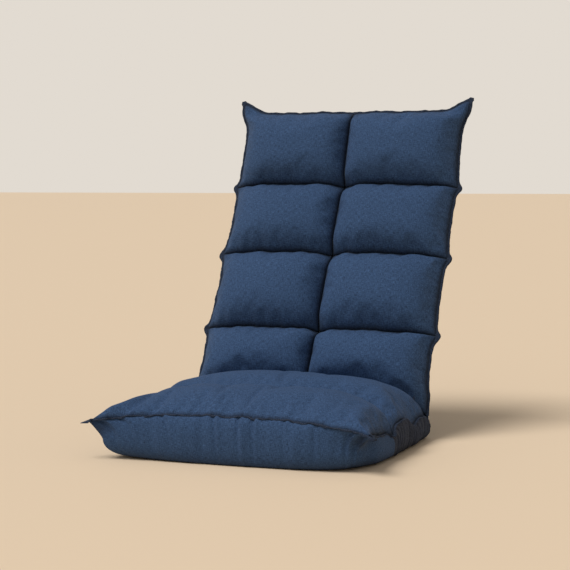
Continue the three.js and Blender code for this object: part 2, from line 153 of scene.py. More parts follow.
def sheet_object(name, grid, flat, material):
    rows, cols = grid.shape[:2]
    index = np.arange(rows * cols).reshape(rows, cols)
    return make_object(name, grid.reshape(-1, 3), grid_faces(rows, cols, index),
                       flat.reshape(-1, 2), material)


def bag_object(name, front, rear, flat, material):
    """A closed bag: the front grid faces out, the rear grid closes it behind the same rim."""
    rows, cols = front.shape[:2]
    index = np.arange(rows * cols).reshape(rows, cols)
    behind = index.copy()
    count = (rows - 2) * (cols - 2)
    behind[1:-1, 1:-1] = rows * cols + np.arange(count).reshape(rows - 2, cols - 2)
    faces = grid_faces(rows, cols, index)
    faces += [face[::-1] for face in grid_faces(rows, cols, behind)]
    points = np.concatenate([front.reshape(-1, 3), rear[1:-1, 1:-1].reshape(-1, 3)])
    uvs = np.concatenate([flat.reshape(-1, 2), flat[1:-1, 1:-1].reshape(-1, 2)])
    piece = make_object(name, points, faces, uvs, material)
    rim = np.zeros(len(points), bool)
    rim[np.concatenate([index[0], index[-1], index[:, 0], index[:, -1]])] = True
    keep_sharp(piece, rim, [index[0, 0], index[0, -1], index[-1, 0], index[-1, -1]])
    # The rim and corners of each bag get painted shade, standing for the shade down in the grooves
    # between pillows and pads.
    mark_painted_shade(piece, np.concatenate([rim_painted_shade(rows, cols).ravel(), np.zeros(count)]))
    return piece


def mark_painted_shade(piece, painted_shade):
    """Stores painted shade for each point, 0 to 1, deepest in creases, grooves and recesses; the
    cloth materials darken the colour by it there.
    """
    values = np.asarray(painted_shade, np.float32).ravel()
    piece.data.attributes.new("painted_fold_shade", "FLOAT", "POINT").data.foreach_set("value", values)


def rim_painted_shade(rows, cols):
    """Painted shade for a grid: 1 along the rim, where the grooves lie in shade, and reaching a
    little further in at the four corners.
    """
    r, c = np.indices((rows, cols))
    r, c = np.minimum(r, rows - 1 - r), np.minimum(c, cols - 1 - c)
    return np.maximum(np.minimum(r, c) == 0, 0.8 * np.exp(-(np.hypot(r, c) / 2.2) ** 2))


def keep_sharp(piece, rim, corners):
    """Holds the rim edges and the corner points still when the mesh is subdivided."""
    mesh = piece.data
    ends = np.empty(len(mesh.edges) * 2, int)
    mesh.edges.foreach_get("vertices", ends)
    on_rim = rim[ends.reshape(-1, 2)].all(1).astype(np.float32)
    mesh.attributes.new("crease_edge", "FLOAT", "EDGE").data.foreach_set("value", on_rim)
    held = np.zeros(len(mesh.vertices), np.float32)
    held[corners] = 1
    mesh.attributes.new("crease_vert", "FLOAT", "POINT").data.foreach_set("value", held)


def finish_mesh(piece, *modifiers):
    """Turns a piece with its modifiers into a plain mesh."""
    for kind, values in modifiers:
        modifier = piece.modifiers.new(kind.lower(), kind)
        for key, value in values.items():
            setattr(modifier, key, value)
    graph = bpy.context.evaluated_depsgraph_get()
    made = bpy.data.meshes.new_from_object(piece.evaluated_get(graph))
    made.name = piece.name
    piece.modifiers.clear()
    piece.data = made
    return piece


FINER = ("SUBSURF", {"levels": 1, "render_levels": 1})

# %% [markdown]
# ## Filling a bag with fibre
# A stuffed pillow is a flat bag under pressure. Its seams hold it, and the loose cloth between
# them swells and creases. Blender's Cloth does the same: the seam points are pinned, a little
# spare cloth is allowed, and pressure pushes from inside. The move of each point is capped, so
# the bag keeps the size that the CAD solid has.

# %% Cloth simulation of one sheet
SIM_FRAMES = 18
MOST_SWELL = 0.014
SPARE_CLOTH = 0.03
CLOTH = {"quality": 6, "mass": 0.25, "tension_stiffness": 18, "compression_stiffness": 12,
         "shear_stiffness": 4, "bending_stiffness": 0.4, "use_pressure": True,
         "uniform_pressure_force": 3.0, "shrink_min": -SPARE_CLOTH, "vertex_group_mass": "seams"}


def fill_with_fibre(grid, pinned):
    """Returns the grid after its loose points have swollen; pinned is a mask of held points."""
    rows, cols = grid.shape[:2]
    piece = sheet_object("cloth_test", grid, np.zeros((rows, cols, 2)), None)
    del ALL_PIECES["cloth_test"]
    seams = piece.vertex_groups.new(name="seams")
    seams.add([int(i) for i in np.flatnonzero(pinned.ravel())], 1.0, "REPLACE")
    cloth = piece.modifiers.new("filling", "CLOTH")
    for key, value in CLOTH.items():
        setattr(cloth.settings, key, value)
    cloth.settings.effector_weights.gravity = 0
    cloth.point_cache.frame_start = 1
    cloth.point_cache.frame_end = SIM_FRAMES
    scene = bpy.context.scene
    for step in range(1, SIM_FRAMES + 1):
        scene.frame_set(step)
    graph = bpy.context.evaluated_depsgraph_get()
    mesh = piece.evaluated_get(graph).data
    moved = np.empty(rows * cols * 3)
    mesh.vertices.foreach_get("co", moved)
    moved = moved.reshape(rows, cols, 3) - grid
    size = np.linalg.norm(moved, axis=-1, keepdims=True)
    bpy.data.objects.remove(piece)
    scene.frame_set(1)
    return grid + moved * np.where(size > MOST_SWELL, MOST_SWELL / np.maximum(size, 1e-9), 1)


def run_length(line):
    """Distance travelled along a line of points."""
    return np.concatenate([[0], np.cumsum(np.linalg.norm(np.diff(line, axis=0), axis=1))])


def spread(cols, power):
    """Places from -1 to 1, closer together towards both ends."""
    across = np.linspace(-1, 1, cols)
    return np.sign(across) * (1 - (1 - np.abs(across)) ** power)


def by_side(across, measure, place):
    """A measure of the left or the right side, picked by the sign of across."""
    return np.where(across < 0, measure(place, -1), measure(place, 1))


def waves(t, seed, scale, count=4):
    """Smooth, repeatable unevenness along a seam, in metres."""
    rng = np.random.default_rng(seed)
    total = np.zeros_like(np.asarray(t, float))
    for k in range(1, count + 1):
        total += np.sin(2 * math.pi * (t * rng.uniform(5, 9) * k + rng.uniform())) / k
    return scale * total


# %% [markdown]
# ## Floor, light and camera
# A pale floor and a pale sky give the soft light of a studio. One large lamp, high up in front
# and to the left, shapes the pillows, and a faint one fills in from the front. The camera stands
# low and to the chair's right, where the seat's long side and its gathered gusset can be seen.

# %% Studio
FLOOR_COLOR = (0.79, 0.64, 0.475)
LAMP_TARGET = (0, 0, 0.3)


def simple_material(name, color, roughness):
    material = bpy.data.materials.new(name)
    material.use_nodes = True
    shader = material.node_tree.nodes["Principled BSDF"]
    shader.inputs["Base Color"].default_value = (*color, 1)
    shader.inputs["Roughness"].default_value = roughness
    return material


def pale_floor(size=60.0):
    points = [(-size, -size, 0), (size, -size, 0), (size, size, 0), (-size, size, 0)]
    floor = make_object("floor", points, [(0, 1, 2, 3)], [point[:2] for point in points],
                        simple_material("pale_floor", FLOOR_COLOR, 0.7), False)
    del ALL_PIECES["floor"]


def soft_sun(name, place, power, angle, color):
    """A distant lamp that shines from the given place to the middle of the chair."""
    data = bpy.data.lights.new(name, "SUN")
    data.angle = math.radians(angle)
    data.energy = power
    data.color = color
    lamp = bpy.data.objects.new(name, data)
    bpy.context.scene.collection.objects.link(lamp)
    lamp.location = place
    lamp.rotation_euler = (Vector(LAMP_TARGET) - Vector(place)).to_track_quat("-Z", "Y").to_euler()


def studio_sky(color, seen, light):
    """A plain sky that looks pale to the camera and lights the chair more gently."""
    world = bpy.data.worlds.new("studio")
    bpy.context.scene.world = world
    world.use_nodes = True
    tree = world.node_tree
    path = tree.nodes.new("ShaderNodeLightPath")
    strength = tree.nodes.new("ShaderNodeMapRange")
    strength.inputs["To Min"].default_value = light
    strength.inputs["To Max"].default_value = seen
    tree.links.new(path.outputs["Is Camera Ray"], strength.inputs["Value"])
    background = tree.nodes["Background"]
    background.inputs["Color"].default_value = (*color, 1)
    tree.links.new(strength.outputs["Result"], background.inputs["Strength"])


pale_floor()
bpy.context.scene.view_settings.view_transform = "Standard"
studio_sky((1.0, 0.93, 0.84), 0.76, 0.36)
soft_sun("key", (-1.3, -1.15, 3.3), 2.2, 34, (1.0, 0.97, 0.93))
soft_sun("fill", (0.2, -3.0, 1.3), 0.20, 60, (0.93, 0.96, 1.0))

CAMERA_PLACE = (1.051, -2.572 + FRONT, 0.500)
CAMERA_YAW = math.radians(20.32)
CAMERA_PITCH = math.radians(-3.71)
camera_data = bpy.data.cameras.new("camera")
camera_data.sensor_width = 36
camera_data.lens = 101.1
camera = bpy.data.objects.new("camera", camera_data)
bpy.context.scene.collection.objects.link(camera)
camera.location = CAMERA_PLACE
camera.rotation_euler = (math.pi / 2 + CAMERA_PITCH, 0, CAMERA_YAW)
bpy.context.scene.camera = camera
print("camera at", [round(v, 2) for v in CAMERA_PLACE])

# %% [markdown]
# ## The linen weave
# The cover is a heavy two-tone weave: threads of two close blues cross each other, some threads
# are thicker than their neighbours, and tiny fibres stand off the surface. A node group draws
# it from the UV map in metres. It gives out a colour, a roughness and a height. The cloth's
# soft glow at the edges is the sheen, which is set on the shader itself.

# %% Weave node group
def add_node(tree, kind, **values):
    node = tree.nodes.new(kind)
    for key, value in values.items():
        setattr(node, key, value)
    return node


def feed(tree, socket, value):
    """Sets a socket to a plain value, or links it to another node's output."""
    if isinstance(value, (int, float, tuple)):
        socket.default_value = value
    else:
        tree.links.new(value, socket)


def math_node(tree, operation, a, b=None):
    node = add_node(tree, "ShaderNodeMath", operation=operation)
    feed(tree, node.inputs[0], a)
    if b is not None:
        feed(tree, node.inputs[1], b)
    return node.outputs[0]


def noise(tree, vector, scale, detail=2.0, roughness=0.5):
    node = add_node(tree, "ShaderNodeTexNoise", noise_dimensions="3D")
    node.inputs["Scale"].default_value = scale
    node.inputs["Detail"].default_value = detail
    node.inputs["Roughness"].default_value = roughness
    tree.links.new(vector, node.inputs["Vector"])
    return node.outputs["Fac"]


def stretched(tree, vector, factors):
    node = add_node(tree, "ShaderNodeVectorMath", operation="MULTIPLY")
    tree.links.new(vector, node.inputs[0])
    node.inputs[1].default_value = factors
    return node.outputs[0]


def mixed(tree, fac, a, b):
    node = add_node(tree, "ShaderNodeMix", data_type="RGBA")
    feed(tree, node.inputs["Factor"], fac)
    feed(tree, node.inputs["A"], a)
    feed(tree, node.inputs["B"], b)
    return node.outputs["Result"]


WEAVE_DEFAULTS = {"Thread Pitch": 0.0011, "Slub": 0.5, "Fibre": 0.5}


def weave_group():
    group = bpy.data.node_groups.new("two_tone_weave", "ShaderNodeTree")
    sockets = [("Vector", "INPUT", "Vector"), ("Thread Pitch", "INPUT", "Float"),
               ("Slub", "INPUT", "Float"), ("Fibre", "INPUT", "Float"),
               ("Dark Thread", "INPUT", "Color"), ("Light Thread", "INPUT", "Color"),
               ("Color", "OUTPUT", "Color"), ("Roughness", "OUTPUT", "Float"),
               ("Height", "OUTPUT", "Float")]
    for name, direction, kind in sockets:
        socket = group.interface.new_socket(name, in_out=direction, socket_type="NodeSocket" + kind)
        if name in WEAVE_DEFAULTS:
            socket.default_value = WEAVE_DEFAULTS[name]
    given = add_node(group, "NodeGroupInput").outputs
    out = add_node(group, "NodeGroupOutput").inputs
    calc = partial(math_node, group)
    split = add_node(group, "ShaderNodeSeparateXYZ")
    feed(group, split.inputs[0], given["Vector"])
    turns = calc("DIVIDE", math.pi, given["Thread Pitch"])
    across, along = [calc("SINE", calc("MULTIPLY", split.outputs[axis], turns)) for axis in "XY"]
    checker = calc("GREATER_THAN", calc("MULTIPLY", across, along), 0.0)
    warp = calc("MULTIPLY", checker, calc("ABSOLUTE", across))
    weft = calc("MULTIPLY", calc("SUBTRACT", 1.0, checker), calc("ABSOLUTE", along))
    thread = calc("ADD", warp, weft)
    slubs = calc("ADD", *[noise(group, stretched(group, given["Vector"], factors), 1.0, 2.0, 0.6)
                          for factors in ((900, 130, 1), (130, 900, 1))])
    patches = noise(group, given["Vector"], 9.0, 3.0, 0.6)
    grains = noise(group, given["Vector"], 620.0, 2.0, 0.75)
    tone = calc("MULTIPLY", calc("SUBTRACT", slubs, 1.0), given["Slub"])
    tone = calc("ADD", calc("MULTIPLY", tone, 3.2), 0.46)
    for part, middle, gain in ((patches, 0.5, 0.15), (grains, 0.5, 1.2), (thread, 0.6, 0.35)):
        tone = calc("ADD", tone, calc("MULTIPLY", calc("SUBTRACT", part, middle), gain))
    clamp = add_node(group, "ShaderNodeClamp")
    feed(group, clamp.inputs["Value"], tone)
    height = calc("ADD", calc("MULTIPLY", thread, 0.7), calc("MULTIPLY", slubs, 0.5))
    height = calc("ADD", height, calc("MULTIPLY", grains, given["Fibre"]))
    blend = mixed(group, clamp.outputs[0], given["Dark Thread"], given["Light Thread"])
    feed(group, out["Color"], blend)
    feed(group, out["Roughness"], calc("ADD", calc("MULTIPLY", grains, 0.12), 0.82))
    feed(group, out["Height"], height)
    return group


WEAVE = weave_group()
WEAVE_DEPTH = 0.0004
# The near-black that stands for shade, painted into creases, grooves, pleats and recesses.
PAINTED_SHADE_COLOR = (0.004, 0.005, 0.008, 1)


def add_bump(tree, shader, height, strength, depth):
    bump = add_node(tree, "ShaderNodeBump")
    bump.inputs["Strength"].default_value = strength
    bump.inputs["Distance"].default_value = depth
    feed(tree, bump.inputs["Height"], height)
    feed(tree, shader.inputs["Normal"], bump.outputs[0])


def woven_material(name, dark, light, pitch=0.0011, slub=0.5, sheen=0.03, painted_shade=0.0):
    material = bpy.data.materials.new(name)
    material.use_nodes = True
    tree = material.node_tree
    shader = tree.nodes["Principled BSDF"]
    uv = add_node(tree, "ShaderNodeUVMap", uv_map="cloth")
    weave = add_node(tree, "ShaderNodeGroup", node_tree=WEAVE)
    weave.inputs["Thread Pitch"].default_value = pitch
    weave.inputs["Slub"].default_value = slub
    weave.inputs["Dark Thread"].default_value = (*dark, 1)
    weave.inputs["Light Thread"].default_value = (*light, 1)
    feed(tree, weave.inputs["Vector"], uv.outputs[0])
    color = weave.outputs["Color"]
    # Painted shade: where the painted shade attribute is high, the weave colour is mixed towards a
    # near-black, standing in for the shade in creases, grooves, pleats and recesses.
    if painted_shade:
        shade_mask = add_node(tree, "ShaderNodeAttribute", attribute_name="painted_fold_shade").outputs["Fac"]
        color = mixed(tree, math_node(tree, "MULTIPLY", shade_mask, painted_shade), color, PAINTED_SHADE_COLOR)
    feed(tree, shader.inputs["Base Color"], color)
    feed(tree, shader.inputs["Roughness"], weave.outputs["Roughness"])
    add_bump(tree, shader, weave.outputs["Height"], 0.5, WEAVE_DEPTH)
    shader.inputs["Sheen Weight"].default_value = sheen
    shader.inputs["Sheen Roughness"].default_value = 0.45
    shader.inputs["Sheen Tint"].default_value = (0.45, 0.58, 0.85, 1)
    shader.inputs["Specular IOR Level"].default_value = 0.25
    return material


LINEN = woven_material("blue_linen", (0.0120, 0.030, 0.074), (0.052, 0.114, 0.256), sheen=0.06,
                       painted_shade=0.7)
# The flange is the same linen, painted darker as painted shade on its turned edges.
EDGE = woven_material("blue_linen_edge", (0.007, 0.012, 0.026), (0.024, 0.040, 0.078))
# The gusset cloth is greyer than the linen, and darker still as painted shade for the shaded side
# of the seat; the linings beside the waist hinges use it too.
GUSSET_GREY_AND_SHADED = woven_material("grey_gusset_with_painted_shade", (0.012, 0.016, 0.028), (0.054, 0.070, 0.116), painted_shade=0.9)
UNDER = woven_material("dark_underside", (0.010, 0.011, 0.013), (0.035, 0.037, 0.042),
                       pitch=0.0016, slub=0.3, sheen=0.02)
print("cloth materials", [m.name for m in (LINEN, EDGE, GUSSET_GREY_AND_SHADED, UNDER)])

# %% Grained finishes
def grained(name, low, high, scale, rough, metal=0.0, depth=0.0002):
    material = bpy.data.materials.new(name)
    material.use_nodes = True
    tree = material.node_tree
    shader = tree.nodes["Principled BSDF"]
    place = add_node(tree, "ShaderNodeTexCoord").outputs["Object"]
    fine = noise(tree, place, scale, 3.0, 0.6)
    broad = noise(tree, place, scale / 12, 2.0, 0.5)
    blend = math_node(tree, "MULTIPLY", math_node(tree, "ADD", fine, broad), 0.5)
    feed(tree, shader.inputs["Base Color"], mixed(tree, blend, (*low, 1), (*high, 1)))
    roughness = math_node(tree, "ADD", math_node(tree, "MULTIPLY", broad, 0.2), rough - 0.1)
    feed(tree, shader.inputs["Roughness"], roughness)
    add_bump(tree, shader, fine, 0.4, depth)
    shader.inputs["Metallic"].default_value = metal
    return material


# %% [markdown]
# ## The seam round the edge
# Front and rear cloth meet in one seam that runs round the chair. Between the corners the
# filling pulls it in, and at the corners it ends in a pointed ear. Each groove between two rows
# ends in a small ear too. The seam is worked out first, because every sheet hangs on it.

# %% Seam line of the back
ROWS_UP = [0.046, 0.165, 0.337, BACK_LENGTH, BACK_LENGTH + 0.171]
TOP = ROWS_UP[4]
SEAM_HALF = 0.2415
SEAM_OUT = 0.015
GROOVE_OUT = 0.035
TIP_RISE = 0.024
TIP_SIDE = 0.011
SIDE_START = 0.006


def ear(t, width):
    """1 at t = 0, falling off smoothly over the width on both sides."""
    return np.exp(-(np.asarray(t) / width) ** 2)


def back_half_width(up, side):
    """Half width of the seam at a height on the back, for the left (-1) or right (1) side."""
    up = np.asarray(up, float)
    half = SEAM_HALF + waves(up, 11 + side, 0.0005)
    for low, high in zip(ROWS_UP[:-1], ROWS_UP[1:]):
        inside = np.clip((up - low) / (high - low), 0, 1)
        half = half - 0.005 * np.sin(math.pi * inside) ** 0.7
    half = half + sum(0.0035 * ear(up - groove, 0.012) for groove in ROWS_UP[1:4])
    return half + TIP_SIDE * smooth((up - TOP + 0.045) / 0.060)


def seam_out(up):
    """How far forward of the frame the side seam lies."""
    up = np.asarray(up, float)
    low = 0.019 * smooth((0.075 - up) / 0.07)
    return SEAM_OUT - low + 0.006 * smooth((up - TOP + 0.02) / 0.04)


def top_edge(across):
    """Height of the top seam: pinched at the middle groove and rising to the two tips."""
    across = np.asarray(across, float)
    tip = smooth((np.abs(across) - 0.74) / 0.26) ** 1.5
    still = 1 - np.abs(across) ** 8
    return TOP + TIP_RISE * tip - 0.003 * ear(across, 0.04) + still * waves(across / 4, 5, 0.0006)


def bottom_edge(across):
    """Lower edge of the back's front sheet: hidden in the crease, lower at the two sides."""
    return ROWS_UP[0] - (ROWS_UP[0] - SIDE_START) * np.abs(across) ** 3


print("top seam from", round(float(top_edge(0)), 3), "to", round(float(top_edge(1)), 3))

# %% [markdown]
# ## The eight pillows of the back
# One sheet of cloth covers the back from the crease to the top, and it is sewn down along three
# cross grooves and one upright groove. That leaves eight pillows. The sheet is first drawn with
# a crown in each field, a little lower than the middle because the fibre settles. Then the
# fibre simulation swells it, and each field is cut out and closed at the back.

# %% Front sheet of the back
FIELD_ROWS = 26
FIELD_COLS = 36
CROWN_HEIGHT = 0.040
CROSS_PINCH = 0.0185
ROW_FULLNESS = np.array([1.0, 1.0, 1.0, 0.94])


def crown(across, along, side_power=3.4, end_power=2.4, shift=0.12, fullness=0.52):
    """A pillow's rise from 0 at its seams to 1; the shift moves its peak down."""
    settled = along + shift * (1 - along * along)
    body = (1 - np.abs(across) ** side_power) * (1 - np.abs(settled) ** end_power)
    return np.clip(body, 0, None) ** fullness


def tucks(across, along, strength):
    """Small gathers that run out from the two ends of a groove."""
    reach = np.exp(-np.abs(1 - np.abs(along)) / 0.16) * smooth((np.abs(across) - 0.5) / 0.4)
    return strength * reach * (np.sin(across * 23) + 0.6 * np.sin(across * 41 + 1.3)) / 1.6


def back_front_grid():
    rows, cols = 4 * FIELD_ROWS + 1, 2 * FIELD_COLS + 1
    across = np.linspace(-1, 1, cols)[None, :].repeat(rows, 0)
    step = np.linspace(0, 4, rows)
    field = np.minimum(step.astype(int), 3)
    share = step - field
    levels = [bottom_edge(across[0])]
    levels += [h + waves(across[0] / 3, 30 + k, 0.0009) for k, h in enumerate(ROWS_UP[1:4])]
    levels = np.array(levels + [top_edge(across[0])])
    up = levels[field] * (1 - share[:, None]) + levels[field + 1] * share[:, None]
    x = across * by_side(across, back_half_width, up)
    side_out = seam_out(up)
    held = (1 - np.abs(across) ** 5) * smooth((TOP + 0.004 - up) / 0.035)
    base = side_out + (GROOVE_OUT - side_out) * held
    nearest = np.abs(step - np.clip(np.round(step), 1, 3))[:, None]
    base = base - CROSS_PINCH * ear(across, 0.085) * ear(nearest, 0.12)
    local = 2 * np.abs(across) - 1
    along = (2 * share - 1)[:, None].repeat(cols, 1)
    heights = ROW_FULLNESS[field][:, None]
    uneven = 1 + 0.05 * np.sin(7.3 * x / 0.24 + 2.1 * step[:, None])
    rise = crown(local, along)
    out = base + CROWN_HEIGHT * heights * uneven * rise + tucks(local * 1.1, along, 0.0007) * rise
    return on_back(x, up, out), np.stack([x, up], -1)


back_grid, back_flat = back_front_grid()
back_pins = np.zeros(back_grid.shape[:2], bool)
back_pins[::FIELD_ROWS, :] = True
back_pins[:, ::FIELD_COLS] = True
back_filled = fill_with_fibre(back_grid, back_pins)
print("back sheet", back_filled.shape, "moved up to",
      round(float(np.abs(back_filled - back_grid).max()), 4))

# %% Cut the fields out as closed pillows
PILLOW_ROWS = ["lumbar", "middle", "upper", "head"]
REAR_OUT = 0.0185
REAR_DROP = 0.001
GROOVE_SPACE = 0.00015


def pulled_in(grid, space):
    """Moves a field's rim inwards by a hair, so two pillows meet in a thin dark line."""
    return grid - unit(grid - grid.reshape(-1, 3).mean(0)) * space


pillows = {}
for r, row in enumerate(PILLOW_ROWS):
    for c, side in enumerate(("left", "right")):
        part = (slice(r * FIELD_ROWS, (r + 1) * FIELD_ROWS + 1),
                slice(c * FIELD_COLS, (c + 1) * FIELD_COLS + 1))
        flat = back_flat[part]
        out = np.minimum(REAR_OUT, seam_out(flat[..., 1]) - REAR_DROP)
        behind = on_back(flat[..., 0], flat[..., 1], out)
        front = pulled_in(back_filled[part], GROOVE_SPACE)
        name = f"{row}_pillow_{side}"
        pillows[name] = finish_mesh(bag_object(name + "_cloth", front, behind, flat, LINEN), FINER)
print("pillows", sorted(pillows))

# %% [markdown]
# ## The seat
# The seat's top is one sheet with a single cross groove, so it makes a front pad and a rear
# pad. Its front seam is pulled back and up in the middle, and its two front corners end in
# ears. The side seam rises and falls where elastic gathers the gusset below it.

# %% Seat seams
SEAT_HALF = 0.243
SEAT_GROOVE = 0.190
CREASE = 0.388
EAR_DEPTH = 0.166
CORNER_DEPTH = -0.004
CORNER_HEIGHT = 0.068
CORNER_REACH = (0.036, 0.014)
SEAT_END = 0.425


# The side seam climbs over each pad and is drawn down where a groove or the gathers end.
SIDE_SEAM = [(-0.004, 0.068), (0.080, 0.061), (0.136, 0.054), (0.163, 0.045), (0.188, 0.057),
             (0.224, 0.062), (0.262, 0.058), (0.310, 0.040), (0.352, 0.050), (0.385, 0.046),
             (0.408, 0.035), (0.425, 0.024)]


def smooth_path(stations, values, t):
    """A smooth curve through values at the given stations."""
    stations, values = np.asarray(stations, float), np.asarray(values, float)
    t = np.asarray(t, float)
    slopes = np.gradient(values, stations, axis=0)
    k = np.clip(np.searchsorted(stations, t, side="right") - 1, 0, len(stations) - 2)
    span = stations[k + 1] - stations[k]
    s = np.clip((t - stations[k]) / span, 0, 1)
    if values.ndim > 1:
        s, span = s[..., None], span[..., None]
    return ((2 * s ** 3 - 3 * s ** 2 + 1) * values[k] + (s ** 3 - 2 * s ** 2 + s) * span * slopes[k]
            + (3 * s ** 2 - 2 * s ** 3) * values[k + 1] + (s ** 3 - s ** 2) * span * slopes[k + 1])


def seat_side_height(depth, side):
    """Height of the side seam along the seat's depth."""
    depth = np.asarray(depth, float)
    height = smooth_path([p[0] for p in SIDE_SEAM], [p[1] for p in SIDE_SEAM], depth)
    if side > 0:
        height = height - 0.006 * ear(depth - 0.095, 0.045)
    return height + smooth(depth / 0.03) * waves(depth, 50 + side, 0.0006)


def seat_half_width(depth, side):
    """Half width of the seat's seam, with the ear at the front corner and at the groove."""
    depth = np.asarray(depth, float)
    reach = CORNER_REACH[side > 0]
    corner = reach * np.clip(1 - (depth - CORNER_DEPTH) / 0.080, 0, 1) ** 2.2
    groove = 0.003 * ear(depth - EAR_DEPTH, 0.014)
    width = SEAT_HALF - 0.003 * smooth(depth / 0.1) + corner + groove
    return width + smooth(depth / 0.03) * waves(depth, 60 + side, 0.0006)


def front_seam(across):
    """Depth and height of the front seam, pulled back and up in the middle."""
    across = np.asarray(across, float)
    middle = 1 - np.abs(across) ** 2.6
    still = 1 - np.abs(across) ** 8
    depth = CORNER_DEPTH + 0.021 * middle + still * waves(across / 3, 71, 0.0012)
    height = CORNER_HEIGHT + 0.018 * middle + still * waves(across / 2.2, 72, 0.0011, 5)
    return depth, height


# %% Top sheet of the seat
SEAT_ROWS = 30
SEAT_COLS = 88
SEAT_CROWNS = np.array([0.017, 0.015])


def seat_top_grid():
    rows, cols = 2 * SEAT_ROWS + 1, SEAT_COLS + 1
    across = spread(cols, 1.15)[None, :].repeat(rows, 0)
    step = np.linspace(0, 2, rows)
    field = np.minimum(step.astype(int), 1)
    share = (step - field)[:, None]
    front_depth, front_height = front_seam(across[0])
    edge = np.abs(across[0]) ** 6
    groove = SEAT_GROOVE * (1 - edge) + EAR_DEPTH * edge + waves(across[0] / 3, 80, 0.001)
    lines = np.array([front_depth, groove, CREASE + 0.006 * edge])
    bow = across[0] ** 2
    tops = np.array([front_height, 0.108 - 0.006 * bow, 0.104 - 0.018 * bow])
    depth = lines[field] * (1 - share) + lines[field + 1] * share
    level = tops[field] * (1 - share) + tops[field + 1] * share
    side = by_side(across, seat_side_height, depth)
    x = across * by_side(across, seat_half_width, depth)
    sharp = np.where(field[:, None] == 0, 9.0, 7.0)
    sharp = sharp - np.where(across > 0, 5.0, 2.0) * ear(step[:, None] - 1, 0.22)
    hold = np.clip(1 - np.abs(across) ** sharp, 0, 1) ** 0.5
    hold[0] = 1
    base = side + (level - side) * hold
    along = (2 * share - 1).repeat(cols, 1)
    rise = np.where(field[:, None] == 0, crown(across, along, 8.0, 2.4, 0.0, 0.40),
                    crown(across, along, 3.6, 2.4, 0.0, 0.45))
    front = smooth(step / 0.07) * (1 - smooth((step - 0.25) / 0.6))
    rear = ear(step - 1.35, 0.25)
    left = np.where(across < 0, 1.0, 0.5)
    shoulder = left * front[:, None] * 0.013 * ear(np.abs(across) - 0.91, 0.085)
    shoulder = shoulder + (across < 0) * rear[:, None] * 0.009 * ear(np.abs(across) - 0.90, 0.10)
    uneven = 1 + 0.04 * np.sin(5.1 * x / 0.24 + 1.7 * step[:, None])
    z = base + SEAT_CROWNS[field][:, None] * uneven * rise + shoulder
    return np.stack([x, depth + FRONT, z], -1), np.stack([x, depth], -1)


seat_grid, seat_flat = seat_top_grid()
seat_pins = np.zeros(seat_grid.shape[:2], bool)
seat_pins[::SEAT_ROWS, :] = True
seat_pins[:, [0, -1]] = True
seat_filled = fill_with_fibre(seat_grid, seat_pins)
print("seat sheet", seat_filled.shape, "highest", round(float(seat_filled[..., 2].max()), 3))

# %% Front and rear seat pads
PAD_FLOOR = 0.0705
pads = {}
for r, name in enumerate(("seat_front_pad", "seat_rear_pad")):
    part = slice(r * SEAT_ROWS, (r + 1) * SEAT_ROWS + 1)
    front = pulled_in(seat_filled[part], GROOVE_SPACE)
    behind = front.copy()
    behind[..., 2] = np.minimum(behind[..., 2] - 0.004, PAD_FLOOR)
    pad = bag_object(name + "_cloth", front, behind, seat_flat[part], LINEN)
    pads[name] = finish_mesh(pad, FINER)
print("seat pads", sorted(pads))

# %% [markdown]
# ## The sides and front of the seat
# Under the seam the lower cover bulges over the foam and rolls under to the floor. Behind the
# groove the side is a gathered gusset: the strip was cut longer than its seam and drawn up in
# upright pleats, so that it can stretch when the back lies down. Both are one band, drawn from
# three lines: the seam, the widest line and the floor line.

# %% Three lines round the seat
FLOOR_GAP = 0.0018
FLOOR_FRONT = 0.010
WIDE_HALF = 0.246
WIDE_CUT = (-0.004, 0.024)
FLOOR_HALF = (0.218, 0.231)
FLOOR_CUT = (0.018, 0.038)
GUSSET_START = EAR_DEPTH - 0.014
WIDE_END = 0.430
FLOOR_END = 0.428
TUCK_UNDER = 0.014


def corner_round(t, cut, power=5):
    return cut * np.abs(t) ** power


def band_lines(kind, t, side):
    """Seam, widest and floor points for a place on the band, as rows of x, depth, z."""
    t = np.asarray(t, float)
    if kind == "front":
        depth, height = front_seam(t)
        right = smooth((t + 1) / 2)
        half = by_side(t, seat_half_width, CORNER_DEPTH)
        seam = [t * half, depth, height]
        cut = WIDE_CUT[0] + (WIDE_CUT[1] - WIDE_CUT[0]) * right
        still = 1 - np.abs(t) ** 8
        wide = [t * WIDE_HALF - np.sign(t) * corner_round(t, cut),
                corner_round(t, cut) + still * waves(t / 3, 90, 0.0012)]
        cut = FLOOR_CUT[0] + (FLOOR_CUT[1] - FLOOR_CUT[0]) * right
        half = FLOOR_HALF[0] + (FLOOR_HALF[1] - FLOOR_HALF[0]) * right
        floor = [t * half - np.sign(t) * corner_round(t, cut),
                 FLOOR_FRONT + corner_round(t, cut + 0.008, 3.4)]
    else:
        hand = int(side > 0)
        depth = CORNER_DEPTH + (SEAT_END - CORNER_DEPTH) * t
        seam = [side * seat_half_width(depth, side), depth, seat_side_height(depth, side)]
        cut = WIDE_CUT[hand] * (1 - t) ** 10 + 0.006 * t ** 12
        wide = [side * (WIDE_HALF - cut), WIDE_CUT[hand] + (WIDE_END - WIDE_CUT[hand]) * t]
        cut = FLOOR_CUT[hand] * (1 - t) ** 10 + 0.012 * t ** 12
        start = FLOOR_FRONT + FLOOR_CUT[hand] + 0.008
        floor = [side * (FLOOR_HALF[hand] - cut), start + (FLOOR_END - start) * t]
    wide.append(0.5 * seam[2] + 0.002)
    floor.append(np.full_like(t, FLOOR_GAP))
    return [np.stack(line, -1) for line in (seam, wide, floor)]


def corner_share(kind, t):
    """1 in the front corners, where the cloth runs straight down from the ear."""
    return np.abs(t) ** 9 if kind == "front" else (1 - np.asarray(t, float)) ** 9


